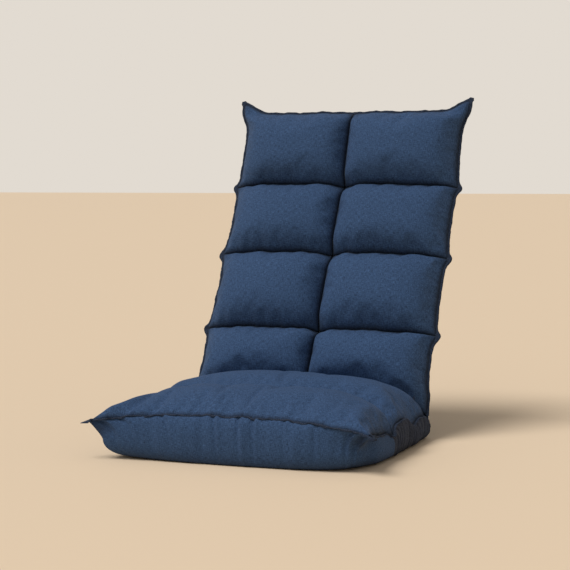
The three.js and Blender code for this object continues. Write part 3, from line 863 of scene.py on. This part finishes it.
def band_profile(lines, v, corner):
    """Rolls from the seam over the widest line to the floor line and a little way under."""
    seam, wide, floor = (line[None] for line in lines)
    v = v[:, None, None]
    turn = np.clip(v, 0, 1) * math.pi / 2
    fall = (1 - np.cos(turn)) + 0.8 * corner[None, :, None] * (np.sin(turn) + np.cos(turn) - 1)
    upper = np.concatenate([seam[..., :2] + (wide - seam)[..., :2] * np.sin(turn),
                            seam[..., 2:] + (wide - seam)[..., 2:] * fall], -1)
    turn = np.clip(v - 1, 0, 1) * math.pi / 2
    lower = np.concatenate([wide[..., :2] + (floor - wide)[..., :2] * (1 - np.cos(turn)),
                            wide[..., 2:] + (floor - wide)[..., 2:] * np.sin(turn)], -1)
    points = np.where(v <= 1, upper, lower)
    centre = np.array([0, 0.23, FLOOR_GAP])
    inward = unit((centre - floor) * np.array([1, 1, 0]))
    return points + inward * np.clip(v - 2, 0, 1) * TUCK_UNDER


# %% Pleats and gathers of the band
PLEAT = 0.0175
PLEAT_DEPTH = 0.0052
# Each crease of the front: its place from -1 to 1, its width there and its depth in mm.
FRONT_CREASES = ((-0.93, 0.020, 4), (-0.80, 0.016, 3), (-0.52, 0.012, 2.5), (-0.16, 0.013, 4),
                 (0.02, 0.017, 4.5), (0.13, 0.012, 3.5), (0.36, 0.014, 2.5),
                 (0.60, 0.016, 2.5), (0.86, 0.022, 6), (0.95, 0.016, 6))


def band_grid(kind, t, side, rows=34):
    lines = band_lines(kind, t, side)
    v = np.concatenate([np.linspace(0, 2, rows), [2.5, 3.0]])
    points = band_profile(lines, v, corner_share(kind, t))
    run = run_length(lines[0][:, :2])
    drop = np.concatenate([np.zeros((1, len(t))),
                           np.cumsum(np.linalg.norm(np.diff(points, axis=0), axis=-1), axis=0)])
    along = np.gradient(points, axis=1)
    down = np.gradient(points, axis=0)
    outward = unit(np.cross(down, along))
    fade = np.clip(1 - v / 2.1, 0, 1)[:, None]
    root = smooth(v / 0.12)[:, None]
    # Painted shade: darker towards the floor, where the band rolls under in shade, and in a recess
    # under each front ear.
    painted_shade = 0.8 * smooth((v - 1.15) / 0.85)[:, None] + np.zeros(len(t))
    recess_shade = 0.9 * ear(v - 0.35, 0.35)[:, None]
    if kind == "front":
        painted_shade = np.maximum(painted_shade, recess_shade * ear(np.abs(t) - 0.99, 0.09))
        lift = np.zeros((len(v), len(t)))
        for place, width, depth in FRONT_CREASES:
            crease = ear(t - place - 0.02 * v[:, None], width)
            lift -= 0.001 * depth * crease * fade ** 1.5 * root
            lift += 0.0005 * depth * ear(t - place - 0.03 - 0.02 * v[:, None], width) * fade * root
    else:
        depth = lines[0][:, 1]
        gathered = smooth((depth - GUSSET_START) / 0.02) * (1 - 0.5 * smooth((depth - 0.41) / 0.02))
        phase = run / PLEAT + 0.30 * np.sin(run * 61 + side) + 0.12 * np.sin(run * 140 + 2 * side)
        lean = 0.25 * np.sin(run * 37 + side) * v[:, None]
        wave = 2 * np.abs(np.sin(math.pi * (phase + lean))) ** 0.7 - 1
        wave = wave + 0.2 * np.sin(4 * math.pi * phase)
        strength = PLEAT_DEPTH * (0.75 + 0.25 * np.sin(run * 83))
        lift = strength * gathered * wave * root * fade ** 0.6
        # Painted shade in the valleys of the gusset's pleats, and under the front ear.
        pleats = np.clip(-wave, 0, 1) * gathered * smooth(v / 0.05)[:, None] * fade ** 0.4
        painted_shade = np.maximum(np.maximum(painted_shade, pleats), recess_shade * ear(depth, 0.040))
        lift = lift - 0.007 * ear(depth - 0.030, 0.020) * fade * root
    flat = np.stack([np.broadcast_to(run, drop.shape), -drop], -1)
    return points + outward * lift[..., None], flat, painted_shade


SIDE_POINTS = 344
FRONT_POINTS = 200


def seat_point(grid):
    """Depth behind the front seam into the chair's frame."""
    return grid + np.array([0, FRONT, 0])


THIN_CLOTH = ("SOLIDIFY", {"thickness": 0.0014, "offset": -1.0})
side_t = np.linspace(0, 1, SIDE_POINTS)
split = int(np.argmin(np.abs(CORNER_DEPTH + (SEAT_END - CORNER_DEPTH) * side_t - GUSSET_START)))
front_t = np.linspace(-1, 1, FRONT_POINTS)
band_parts = {side: band_grid("side", side_t, side) for side in (-1, 1)}
front_band, front_band_flat, front_painted_shade = band_grid("front", front_t, 0)


left_grid, left_flat, left_painted_shade = (part[:, :split + 1][:, ::-1] for part in band_parts[-1])
right_grid, right_flat, right_painted_shade = (part[:, :split + 1] for part in band_parts[1])
left_flat = left_flat * np.array([-1, 1])
lower_grid = np.concatenate([left_grid[:, :-1], front_band, right_grid[:, 1:]], 1)
right_flat = right_flat + np.array([front_band_flat[0, -1, 0], 0])
lower_flat = np.concatenate([left_flat[:, :-1], front_band_flat, right_flat[:, 1:]], 1)
lower_painted_shade = np.concatenate([left_painted_shade[:, :-1], front_painted_shade, right_painted_shade[:, 1:]], 1)
lower_cover = sheet_object("seat_lower_cover_cloth", seat_point(lower_grid)[::-1],
                           lower_flat[::-1], LINEN)
mark_painted_shade(lower_cover, lower_painted_shade[::-1])
finish_mesh(lower_cover, THIN_CLOTH)
gussets = {}
for side, name in ((-1, "left"), (1, "right")):
    grid, flat, painted_shade = (part[:, split:][::-1] for part in band_parts[side])
    grid = seat_point(grid)
    if side < 0:
        grid, flat, painted_shade = grid[:, ::-1], flat[:, ::-1] * np.array([-1, 1]), painted_shade[:, ::-1]
    gusset = sheet_object(f"seat_gusset_{name}_cloth", grid, flat, GUSSET_GREY_AND_SHADED)
    mark_painted_shade(gusset, painted_shade)
    gussets[name] = finish_mesh(gusset, THIN_CLOTH)
print("band", lower_grid.shape, "pleats on each gusset", round((SEAT_END - GUSSET_START) / PLEAT))

# %% [markdown]
# ## The cloth behind
# A smooth cover closes the chair at the back. It runs from the seat's floor line, round the
# waist and up to the top seam. It is one long sheet on the real chair; here it is cut where the
# sections bend. The back and head parts ride with their own sections; the waist wrap and the
# neck part keep the place where they are drawn. The shell bulges over the steel frame and falls
# to the seam at both sides, which leaves the plain strip that shows from the side.

# %% Rear sheet from waist to top
SHELL_OUT = -0.038
WAIST_TOP = 0.060
NECK_CUTS = (BACK_LENGTH - 0.100, BACK_LENGTH + 0.100)


def round_over(across, power=6):
    return np.sqrt(np.clip(1 - np.abs(across) ** power, 0, 1))


def rear_grid(cols=97):
    across = spread(cols, 1.35)
    heights = np.concatenate([np.arange(WAIST_TOP, NECK_CUTS[0], 0.006), [NECK_CUTS[0]],
                              np.arange(NECK_CUTS[0] + 0.005, NECK_CUTS[1], 0.005), [NECK_CUTS[1]]])
    share = np.linspace(0, 1, 22)[1:]
    share = 1 - (1 - share[:, None]) ** 1.4
    last = NECK_CUTS[1] + (top_edge(across)[None] - NECK_CUTS[1]) * share
    up = np.concatenate([heights[:, None].repeat(cols, 1), last])
    x = across * by_side(across[None], back_half_width, up)
    falling = np.clip((up - 0.52) / (top_edge(across)[None] - 0.52), 0, 1)
    bulge = round_over(falling, 9) * round_over(across[None])
    ripple = 0.0012 * np.sin(up * 61 + 3 * x / 0.24) * round_over(across[None]) * (1 - falling)
    out = seam_out(up) + (SHELL_OUT - seam_out(up)) * bulge + ripple
    return on_back(x, up, out), np.stack([x, up], -1), len(heights)


rear_points, rear_flat, rear_straight = rear_grid()
cut_low = int(np.argmin(np.abs(rear_flat[:rear_straight, 0, 1] - NECK_CUTS[0])))
cut_high = rear_straight - 1
rear_covers = {}
for name, low, high in (("back", 0, cut_low), ("neck", cut_low, cut_high),
                        ("head", cut_high, None)):
    part = slice(low, None if high is None else high + 1)
    grid, flat = rear_points[part][:, ::-1], rear_flat[part][:, ::-1]
    piece = sheet_object(f"{name}_rear_cover_cloth", grid, flat, LINEN)
    rear_covers[name] = finish_mesh(piece, THIN_CLOTH)
print("rear sheet", rear_points.shape, "cut at rows", cut_low, cut_high)

# %% Waist wrap
def waist_grid(rows=46, cols=97):
    v = np.linspace(0, 1, rows)
    ends = [seat_point(line[-1]) for line in band_lines("side", np.array([0.999, 1.0]), 1)]
    ups = [0.02, 0.035]
    edge_points = [ends[2], ends[1], ends[0],
                   *on_back(back_half_width(ups, 1), ups, seam_out(ups) - 0.002),
                   on_back(back_half_width(WAIST_TOP, 1), WAIST_TOP, seam_out(WAIST_TOP))]
    middle = [(0, 0.072, FLOOR_GAP), (0, 0.0835, 0.014), (0, 0.0865, 0.028), (0, 0.0880, 0.045),
              (0, 0.0895, 0.058), on_back(0, WAIST_TOP, SHELL_OUT)]
    stations = [0, 0.18, 0.36, 0.56, 0.74, 1]
    edge = smooth_path(stations, np.array(edge_points), v)[:, None]
    centre = smooth_path(stations, np.array(middle, float), v)[:, None]
    across = spread(cols, 1.35)[None, :, None]
    grid = edge + (centre - edge) * round_over(across)
    grid[..., 0] = across[..., 0] * edge[..., 0]
    crease = 0.0016 * np.sin(v[:, None] * 19 + 2 * across[0, :, 0]) * round_over(across[..., 0])
    grid[..., 1] += crease * (1 - v[:, None]) * v[:, None] * 4
    return grid, np.stack([grid[..., 0], v[:, None].repeat(cols, 1) * 0.085], -1)


waist_points, waist_flat = waist_grid()
waist_cover = finish_mesh(sheet_object("waist_rear_cover_cloth", waist_points[:, ::-1],
                                       waist_flat[:, ::-1], LINEN), THIN_CLOTH)
print("waist wrap", waist_points.shape)

# %% Lining beside each waist hinge
def waist_lining(side, name):
    """A panel just outside the hinge, so that no steel shows where pad and pillow part."""
    corners = np.array([[0.366, 0.030], [0.432, 0.016], [0.436, 0.104], [0.386, 0.098]])
    s, t = np.meshgrid(np.linspace(0, 1, 14), np.linspace(0, 1, 14))
    s, t = s[..., None], t[..., None]
    flat = ((1 - s) * (1 - t) * corners[0] + s * (1 - t) * corners[1]
            + s * t * corners[2] + (1 - s) * t * corners[3])
    x = side * (0.2235 + 0.002 * np.sin(flat[..., 0] * 160))
    grid = np.stack([x, flat[..., 0] + FRONT, flat[..., 1]], -1)
    if side < 0:
        grid, flat = grid[:, ::-1], flat[:, ::-1]
    return finish_mesh(sheet_object(f"waist_lining_{name}", grid, flat, GUSSET_GREY_AND_SHADED), THIN_CLOTH)


linings = [waist_lining(-1, "left"), waist_lining(1, "right")]
print("linings", [piece.name for piece in linings])

# %% [markdown]
# ## The underside
# A sheet of dark non-woven cloth closes the seat on the floor side. It follows the floor line of
# the lower cover and lies flat under the foam, so it is drawn as rings that shrink to the middle.

# %% Underside panel
CLOTH_HEIGHT = 0.0005


def underside():
    ring = [seat_point(band_lines("side", side_t[::-3], -1)[2]),
            seat_point(band_lines("front", front_t[2:-2:3], 0)[2]),
            seat_point(band_lines("side", side_t[::3], 1)[2])]
    ring = np.concatenate(ring)
    rear = np.linspace(ring[-1], ring[0], 60)[1:-1]
    rear[:, 1] += 0.006
    ring = np.concatenate([ring, rear])
    centre = np.array([0, -0.15, 0])
    scales = [1.0, 0.985, 0.96, 0.8, 0.55, 0.28]
    heights = [0.0012, 0.0008, 0.0006, CLOTH_HEIGHT, CLOTH_HEIGHT, CLOTH_HEIGHT]
    rings = [np.concatenate([(centre + (ring - centre) * s)[:, :2], np.full((len(ring), 1), h)], 1)
             for s, h in zip(scales, heights)]
    points = np.concatenate(rings + [[[*centre[:2], CLOTH_HEIGHT]]])
    index = np.arange(len(points) - 1).reshape(len(scales), -1)
    last = index[-1]
    faces = ring_faces(index)
    faces += [(a, b, len(points) - 1) for a, b in zip(last, np.roll(last, -1))]
    return make_object("seat_underside_cloth", points, faces, points[:, :2], UNDER)


under = finish_mesh(underside(), ("SOLIDIFY", {"thickness": 0.0004, "offset": 1.0}))
print("underside rim points", len(under.data.vertices))

# %% [markdown]
# ## The flange on the seam
# Where the sheets meet, their turned edges stand out as a narrow flat flange. It is two layers
# thick, a bit wavy, and wider where a groove ends, because the folds pile up there. A ribbon
# with a rounded section is swept along each stretch of the seam, and a line of stitches holds
# it down.

# %% Flange ribbons
FLANGE_WIDTH = 0.0042
FLANGE_THICK = 0.0021
SECTION = [(-0.5, 0.5), (0.25, 0.5), (0.8, 0.42), (1.0, 0.0), (0.8, -0.42), (0.25, -0.5),
           (-0.5, -0.5), (-0.7, 0.0)]


def ribbon(name, line, outward, facing, widths, seed):
    """A closed ribbon along a line; outward is across it, facing is its flat side."""
    count = len(line)
    run = run_length(line)
    sway = waves(run * 3.1, seed, 0.0011, 5)[:, None]
    rows = []
    for reach, rise in SECTION:
        lift = facing * (rise * FLANGE_THICK) + facing * sway * max(reach, 0)
        rows.append(line + outward * (widths[:, None] * reach) + lift)
    points = np.stack(rows, 1)
    sides = len(SECTION)
    index = np.arange(count * sides).reshape(count, sides)
    faces = [*ring_faces(index), tuple(index[0, ::-1]), tuple(index[-1])]
    around = np.linspace(0, 2 * FLANGE_WIDTH, sides)
    uvs = np.stack([np.broadcast_to(run[:, None], (count, sides)),
                    np.broadcast_to(around, (count, sides))], -1)
    piece = make_object(name, points.reshape(-1, 3), faces, uvs.reshape(-1, 2), EDGE)
    outwards(piece)
    return piece, line + outward * (widths[:, None] * 0.42) + facing * (FLANGE_THICK * 0.5)


def outwards(piece):
    """Turns the faces of a closed mesh to the outside."""
    work = bmesh.new()
    work.from_mesh(piece.data)
    bmesh.ops.recalc_face_normals(work, faces=work.faces)
    work.to_mesh(piece.data)
    work.free()


def side_normals(flat_line):
    """Normals in the flat plane of a line, to its left."""
    tangent = np.gradient(flat_line, axis=0)
    return unit(np.stack([-tangent[:, 1], tangent[:, 0]], -1))


# %% Flange round the back and head
def back_loop():
    """The back's seam as x and up, from the lower left over the top to the lower right."""
    ups = np.append(np.arange(SIDE_START, top_edge(1.0) - 0.0008, 0.0015), top_edge(1.0))
    left = np.stack([-back_half_width(ups, -1), ups], -1)
    across = np.linspace(-1, 1, 330)
    top_up = top_edge(across)
    half = by_side(across, back_half_width, top_up)
    top = np.stack([across * half, top_up], -1)
    right = np.stack([back_half_width(ups, 1), ups], -1)[::-1]
    return np.concatenate([left, top[1:-1], right])


def at_tips(line, places, reach):
    """1 at the given corners of a line and 0 elsewhere, falling off within the reach."""
    near = [ear(np.linalg.norm(line - np.asarray(place), axis=1), reach) for place in places]
    return np.maximum(*near)


NUDGE = 0.001
loop = back_loop()
loop_side = side_normals(loop)
loop_out = seam_out(loop[:, 1])
loop_line = on_back(loop[:, 0], loop[:, 1], loop_out)
ahead = loop + loop_side * NUDGE
loop_outward = (on_back(ahead[:, 0], ahead[:, 1], loop_out) - loop_line) / NUDGE
loop_facing = unit(on_back(loop[:, 0], loop[:, 1], loop_out + NUDGE) - loop_line)
top_corners = [(-float(back_half_width(top_edge(1.0), -1)), float(top_edge(1.0))),
               (float(back_half_width(top_edge(1.0), 1)), float(top_edge(1.0)))]
loop_width = FLANGE_WIDTH + 0.0035 * at_tips(loop, top_corners, 0.003)
for groove in ROWS_UP[1:4]:
    groove_ear = ear(loop[:, 1] - groove + 0.002, 0.009) * (np.abs(loop[:, 0]) > 0.2)
    loop_width = loop_width + 0.0036 * groove_ear
loop_width = loop_width + 0.002 * ear(loop[:, 0], 0.006) * (loop[:, 1] > TOP - 0.02)
flanges, stitch_lines = {}, {}


def add_flange(name, line, outward, facing, widths, seed):
    flanges[name], stitch_lines[name] = ribbon(name, line, outward, facing, widths, seed)


peak = len(loop) // 2
for side, name in ((-1, "left"), (1, "right")):
    half = np.arange(len(loop)) <= peak if side < 0 else np.arange(len(loop)) > peak
    bounds = [SIDE_START - 0.001, ROWS_UP[1] + 0.03, NECK_CUTS[0], NECK_CUTS[1]]
    for k, section in enumerate(("waist", "back", "neck")):
        part = half & (loop[:, 1] >= bounds[k]) & (loop[:, 1] <= bounds[k + 1] + 0.0016)
        add_flange(f"{section}_flange_{name}_edge", loop_line[part], loop_outward[part],
                   loop_facing[part], loop_width[part], 100 + 3 * k + side)
part = loop[:, 1] >= NECK_CUTS[1]
add_flange("head_flange_edge", loop_line[part], loop_outward[part], loop_facing[part],
           loop_width[part], 110)
print("back flanges", sorted(flanges))

# %% Flange round the seat
def seat_loop():
    sides = {side: band_lines("side", side_t, side)[0] for side in (-1, 1)}
    front = band_lines("front", np.linspace(-1, 1, 240), 0)[0]
    return np.concatenate([sides[-1][::-1], front[1:-1], sides[1]])


seat_line = seat_loop()
seat_side = -side_normals(seat_line[:, :2])
seat_corners = [(-float(seat_half_width(CORNER_DEPTH, -1)), CORNER_DEPTH),
                (float(seat_half_width(CORNER_DEPTH, 1)), CORNER_DEPTH)]
corner_near = at_tips(seat_line[:, :2], seat_corners, 0.0045)
left_side = seat_line[:, 0] < 0
seat_width = FLANGE_WIDTH + corner_near * np.where(left_side, 0.013, 0.007)
seat_width = seat_width + 0.004 * ear(seat_line[:, 1] - EAR_DEPTH, 0.010)
droop = np.where(left_side, -0.10, -0.35) * smooth((0.08 - seat_line[:, 1]) / 0.08)
fall = (droop * corner_near * 1.6 - 0.12)[:, None]
seat_outward = unit(np.concatenate([seat_side, fall], 1))
seat_facing = unit(np.cross(np.gradient(seat_line, axis=0), seat_outward))
seat_facing *= np.sign(seat_facing[:, 2:])
places = seat_point(seat_line)
count = len(side_t)
cuts = {"seat_rear_flange_left_edge": (0, count - split),
        "seat_flange_edge": (count - 1 - split, len(seat_line) - count + split + 1),
        "seat_rear_flange_right_edge": (len(seat_line) - count + split, len(seat_line))}
for k, (name, (low, high)) in enumerate(cuts.items()):
    add_flange(name, places[low:high], seat_outward[low:high], seat_facing[low:high],
               seat_width[low:high], 120 + k)
print("seat flanges", list(cuts))

# %% [markdown]
# ## Stitches on the flange
# A line of lockstitch holds the flange flat. Each stitch is a short, fat thread that dips at
# both ends. Hundreds of them follow the seam, so Geometry Nodes place one small stitch at equal
# steps along the line, turned to run with it. A named input sets the step.

# %% Stitch tree
STITCH_DEFAULTS = {"Stitch Step": 0.0042, "Stitch Length": 0.0030, "Thread Radius": 0.00042}


def stitch_tree(material):
    tree = bpy.data.node_groups.new("stitch_run", "GeometryNodeTree")
    face = tree.interface
    face.new_socket("Geometry", in_out="INPUT", socket_type="NodeSocketGeometry")
    sizes = {}
    for label, value in STITCH_DEFAULTS.items():
        sizes[label] = face.new_socket(label, in_out="INPUT", socket_type="NodeSocketFloat")
        sizes[label].default_value = value
    face.new_socket("Geometry", in_out="OUTPUT", socket_type="NodeSocketGeometry")
    given, out = add_node(tree, "NodeGroupInput").outputs, add_node(tree, "NodeGroupOutput")
    curve = add_node(tree, "GeometryNodeMeshToCurve")
    steps = add_node(tree, "GeometryNodeResampleCurve", mode="LENGTH")
    tangent = add_node(tree, "GeometryNodeInputTangent")
    turn = add_node(tree, "FunctionNodeAlignRotationToVector", axis="Z")
    stitch = add_node(tree, "GeometryNodeMeshUVSphere")
    size = add_node(tree, "ShaderNodeCombineXYZ")
    place = add_node(tree, "GeometryNodeInstanceOnPoints")
    real = add_node(tree, "GeometryNodeRealizeInstances")
    paint = add_node(tree, "GeometryNodeSetMaterial")
    paint.inputs["Material"].default_value = material
    half = math_node(tree, "MULTIPLY", given["Stitch Length"], 0.5)
    for node, socket, value in (
            (stitch, "Segments", 6), (stitch, "Rings", 5), (stitch, "Radius", 1.0),
            (curve, "Mesh", given["Geometry"]), (steps, "Curve", curve.outputs["Curve"]),
            (steps, "Length", given["Stitch Step"]), (turn, "Vector", tangent.outputs["Tangent"]),
            (size, "X", given["Thread Radius"]), (size, "Y", given["Thread Radius"]),
            (size, "Z", half),
            (place, "Points", steps.outputs["Curve"]), (place, "Instance", stitch.outputs["Mesh"]),
            (place, "Rotation", turn.outputs["Rotation"]), (place, "Scale", size.outputs[0]),
            (real, "Geometry", place.outputs["Instances"]),
            (paint, "Geometry", real.outputs["Geometry"]),
            (out, "Geometry", paint.outputs["Geometry"])):
        feed(tree, node.inputs[socket], value)
    return tree, sizes


THREAD = grained("navy_thread", (0.018, 0.034, 0.075), (0.040, 0.070, 0.140), 1500, 0.6)
STITCH_TREE, STITCH_SIZES = stitch_tree(THREAD)


def stitch_run(name, line):
    """Real stitches along a line, as one mesh."""
    mesh = bpy.data.meshes.new(name)
    edges = [(i, i + 1) for i in range(len(line) - 1)]
    mesh.from_pydata([tuple(map(float, p)) for p in line], edges, [])
    piece = bpy.data.objects.new(name, mesh)
    bpy.context.scene.collection.objects.link(piece)
    ALL_PIECES[name] = piece
    modifier = piece.modifiers.new("stitches", "NODES")
    modifier.node_group = STITCH_TREE
    modifier[STITCH_SIZES["Stitch Step"].identifier] = STITCH_DEFAULTS["Stitch Step"]
    finish_mesh(piece)
    piece.data.polygons.foreach_set("use_smooth", [True] * len(piece.data.polygons))
    return piece


stitches = {name: stitch_run(name.replace("_edge", "_stitches"), line)
            for name, line in stitch_lines.items()}
print("stitch faces", sum(len(piece.data.polygons) for piece in stitches.values()))

# %% [markdown]
# ## Steel, foam and what holds them
# The frame is powder-coated tube, the hinge plates and pawls are zinc-plated, and the foam is
# open-celled. All three sit inside the covers, and they keep the CAD shapes. They still get
# real finishes, because a cover may be opened or a section posed.

# %% Materials for the inside
FOAM = grained("open_cell_foam", (0.62, 0.56, 0.40), (0.80, 0.74, 0.58), 600, 0.9, depth=0.0006)
COATED = grained("black_powder_coat", (0.016, 0.017, 0.019), (0.030, 0.031, 0.034), 900, 0.45)
ZINC = grained("zinc_plate", (0.48, 0.49, 0.50), (0.66, 0.67, 0.68), 260, 0.34, 1.0, 0.00005)

INSIDE = {"foam": FOAM, "tube": COATED, "hinge": ZINC, "pawl": ZINC}
for node_name, node in frame["nodes"].items():
    for word, material in INSIDE.items():
        if word in node_name:
            for slot in node.material_slots:
                slot.material = material
print("inside finishes on", sum(any(w in n for w in INSIDE) for n in frame["nodes"]), "nodes")

# %% [markdown]
# ## What moves with what
# Cloth that lies on one section rides with it. Cloth that crosses a hinge is not blended between
# two sections: it keeps the place where it is drawn and rides with none. The two ends of the
# waist field, from the middle of the rear pad up to the lumbar pillows, and of the neck field,
# through the upper and the head pillows, are worked out, but nothing here uses them.

# %% Rides and replaced solids
def back_point(up, out):
    return tuple(float(v) for v in on_back(0, up, out))


WRAP_FIELD = dict(start=(0, FRONT + 0.440, FLOOR_GAP), end=back_point(WAIST_TOP, SHELL_OUT))
NECK_FIELD = dict(start=back_point(NECK_CUTS[0], 0), end=back_point(NECK_CUTS[1], 0))


def at_waist(piece):
    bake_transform(piece)


def at_neck(piece):
    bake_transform(piece)


for name, piece in pillows.items():
    row = name.split("_")[0]
    if row == "lumbar":
        at_waist(piece)
    elif row == "middle":
        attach(piece, "back")
    else:
        at_neck(piece)
    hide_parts(name)
for name, piece in pads.items():
    if name == "seat_rear_pad":
        at_waist(piece)
    else:
        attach(piece, "seat")
    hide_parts(name)
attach(lower_cover, "seat")
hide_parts("seat_lower_cover")
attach(under, "seat")
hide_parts("seat_bottom_panel")
for piece in linings:
    at_waist(piece)
for side, piece in gussets.items():
    at_waist(piece)
    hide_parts(f"seat_gusset_{side}")
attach(rear_covers["back"], "back")
at_neck(rear_covers["neck"])
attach(rear_covers["head"], "head")
for name, piece in rear_covers.items():
    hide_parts(f"{name}_rear_cover")
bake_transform(waist_cover)
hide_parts("waist_rear_cover")


def move_edge(name, piece):
    if name.startswith(("waist", "seat_rear")):
        at_waist(piece)
    elif name.startswith("neck"):
        at_neck(piece)
    else:
        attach(piece, name.split("_")[0])


for name, piece in stitches.items():
    move_edge(name, piece)
for name, piece in flanges.items():
    move_edge(name, piece)
    node = name.replace("_edge", "").replace("waist", "back").replace("neck", "back")
    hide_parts(node)
print("pieces", len(ALL_PIECES))
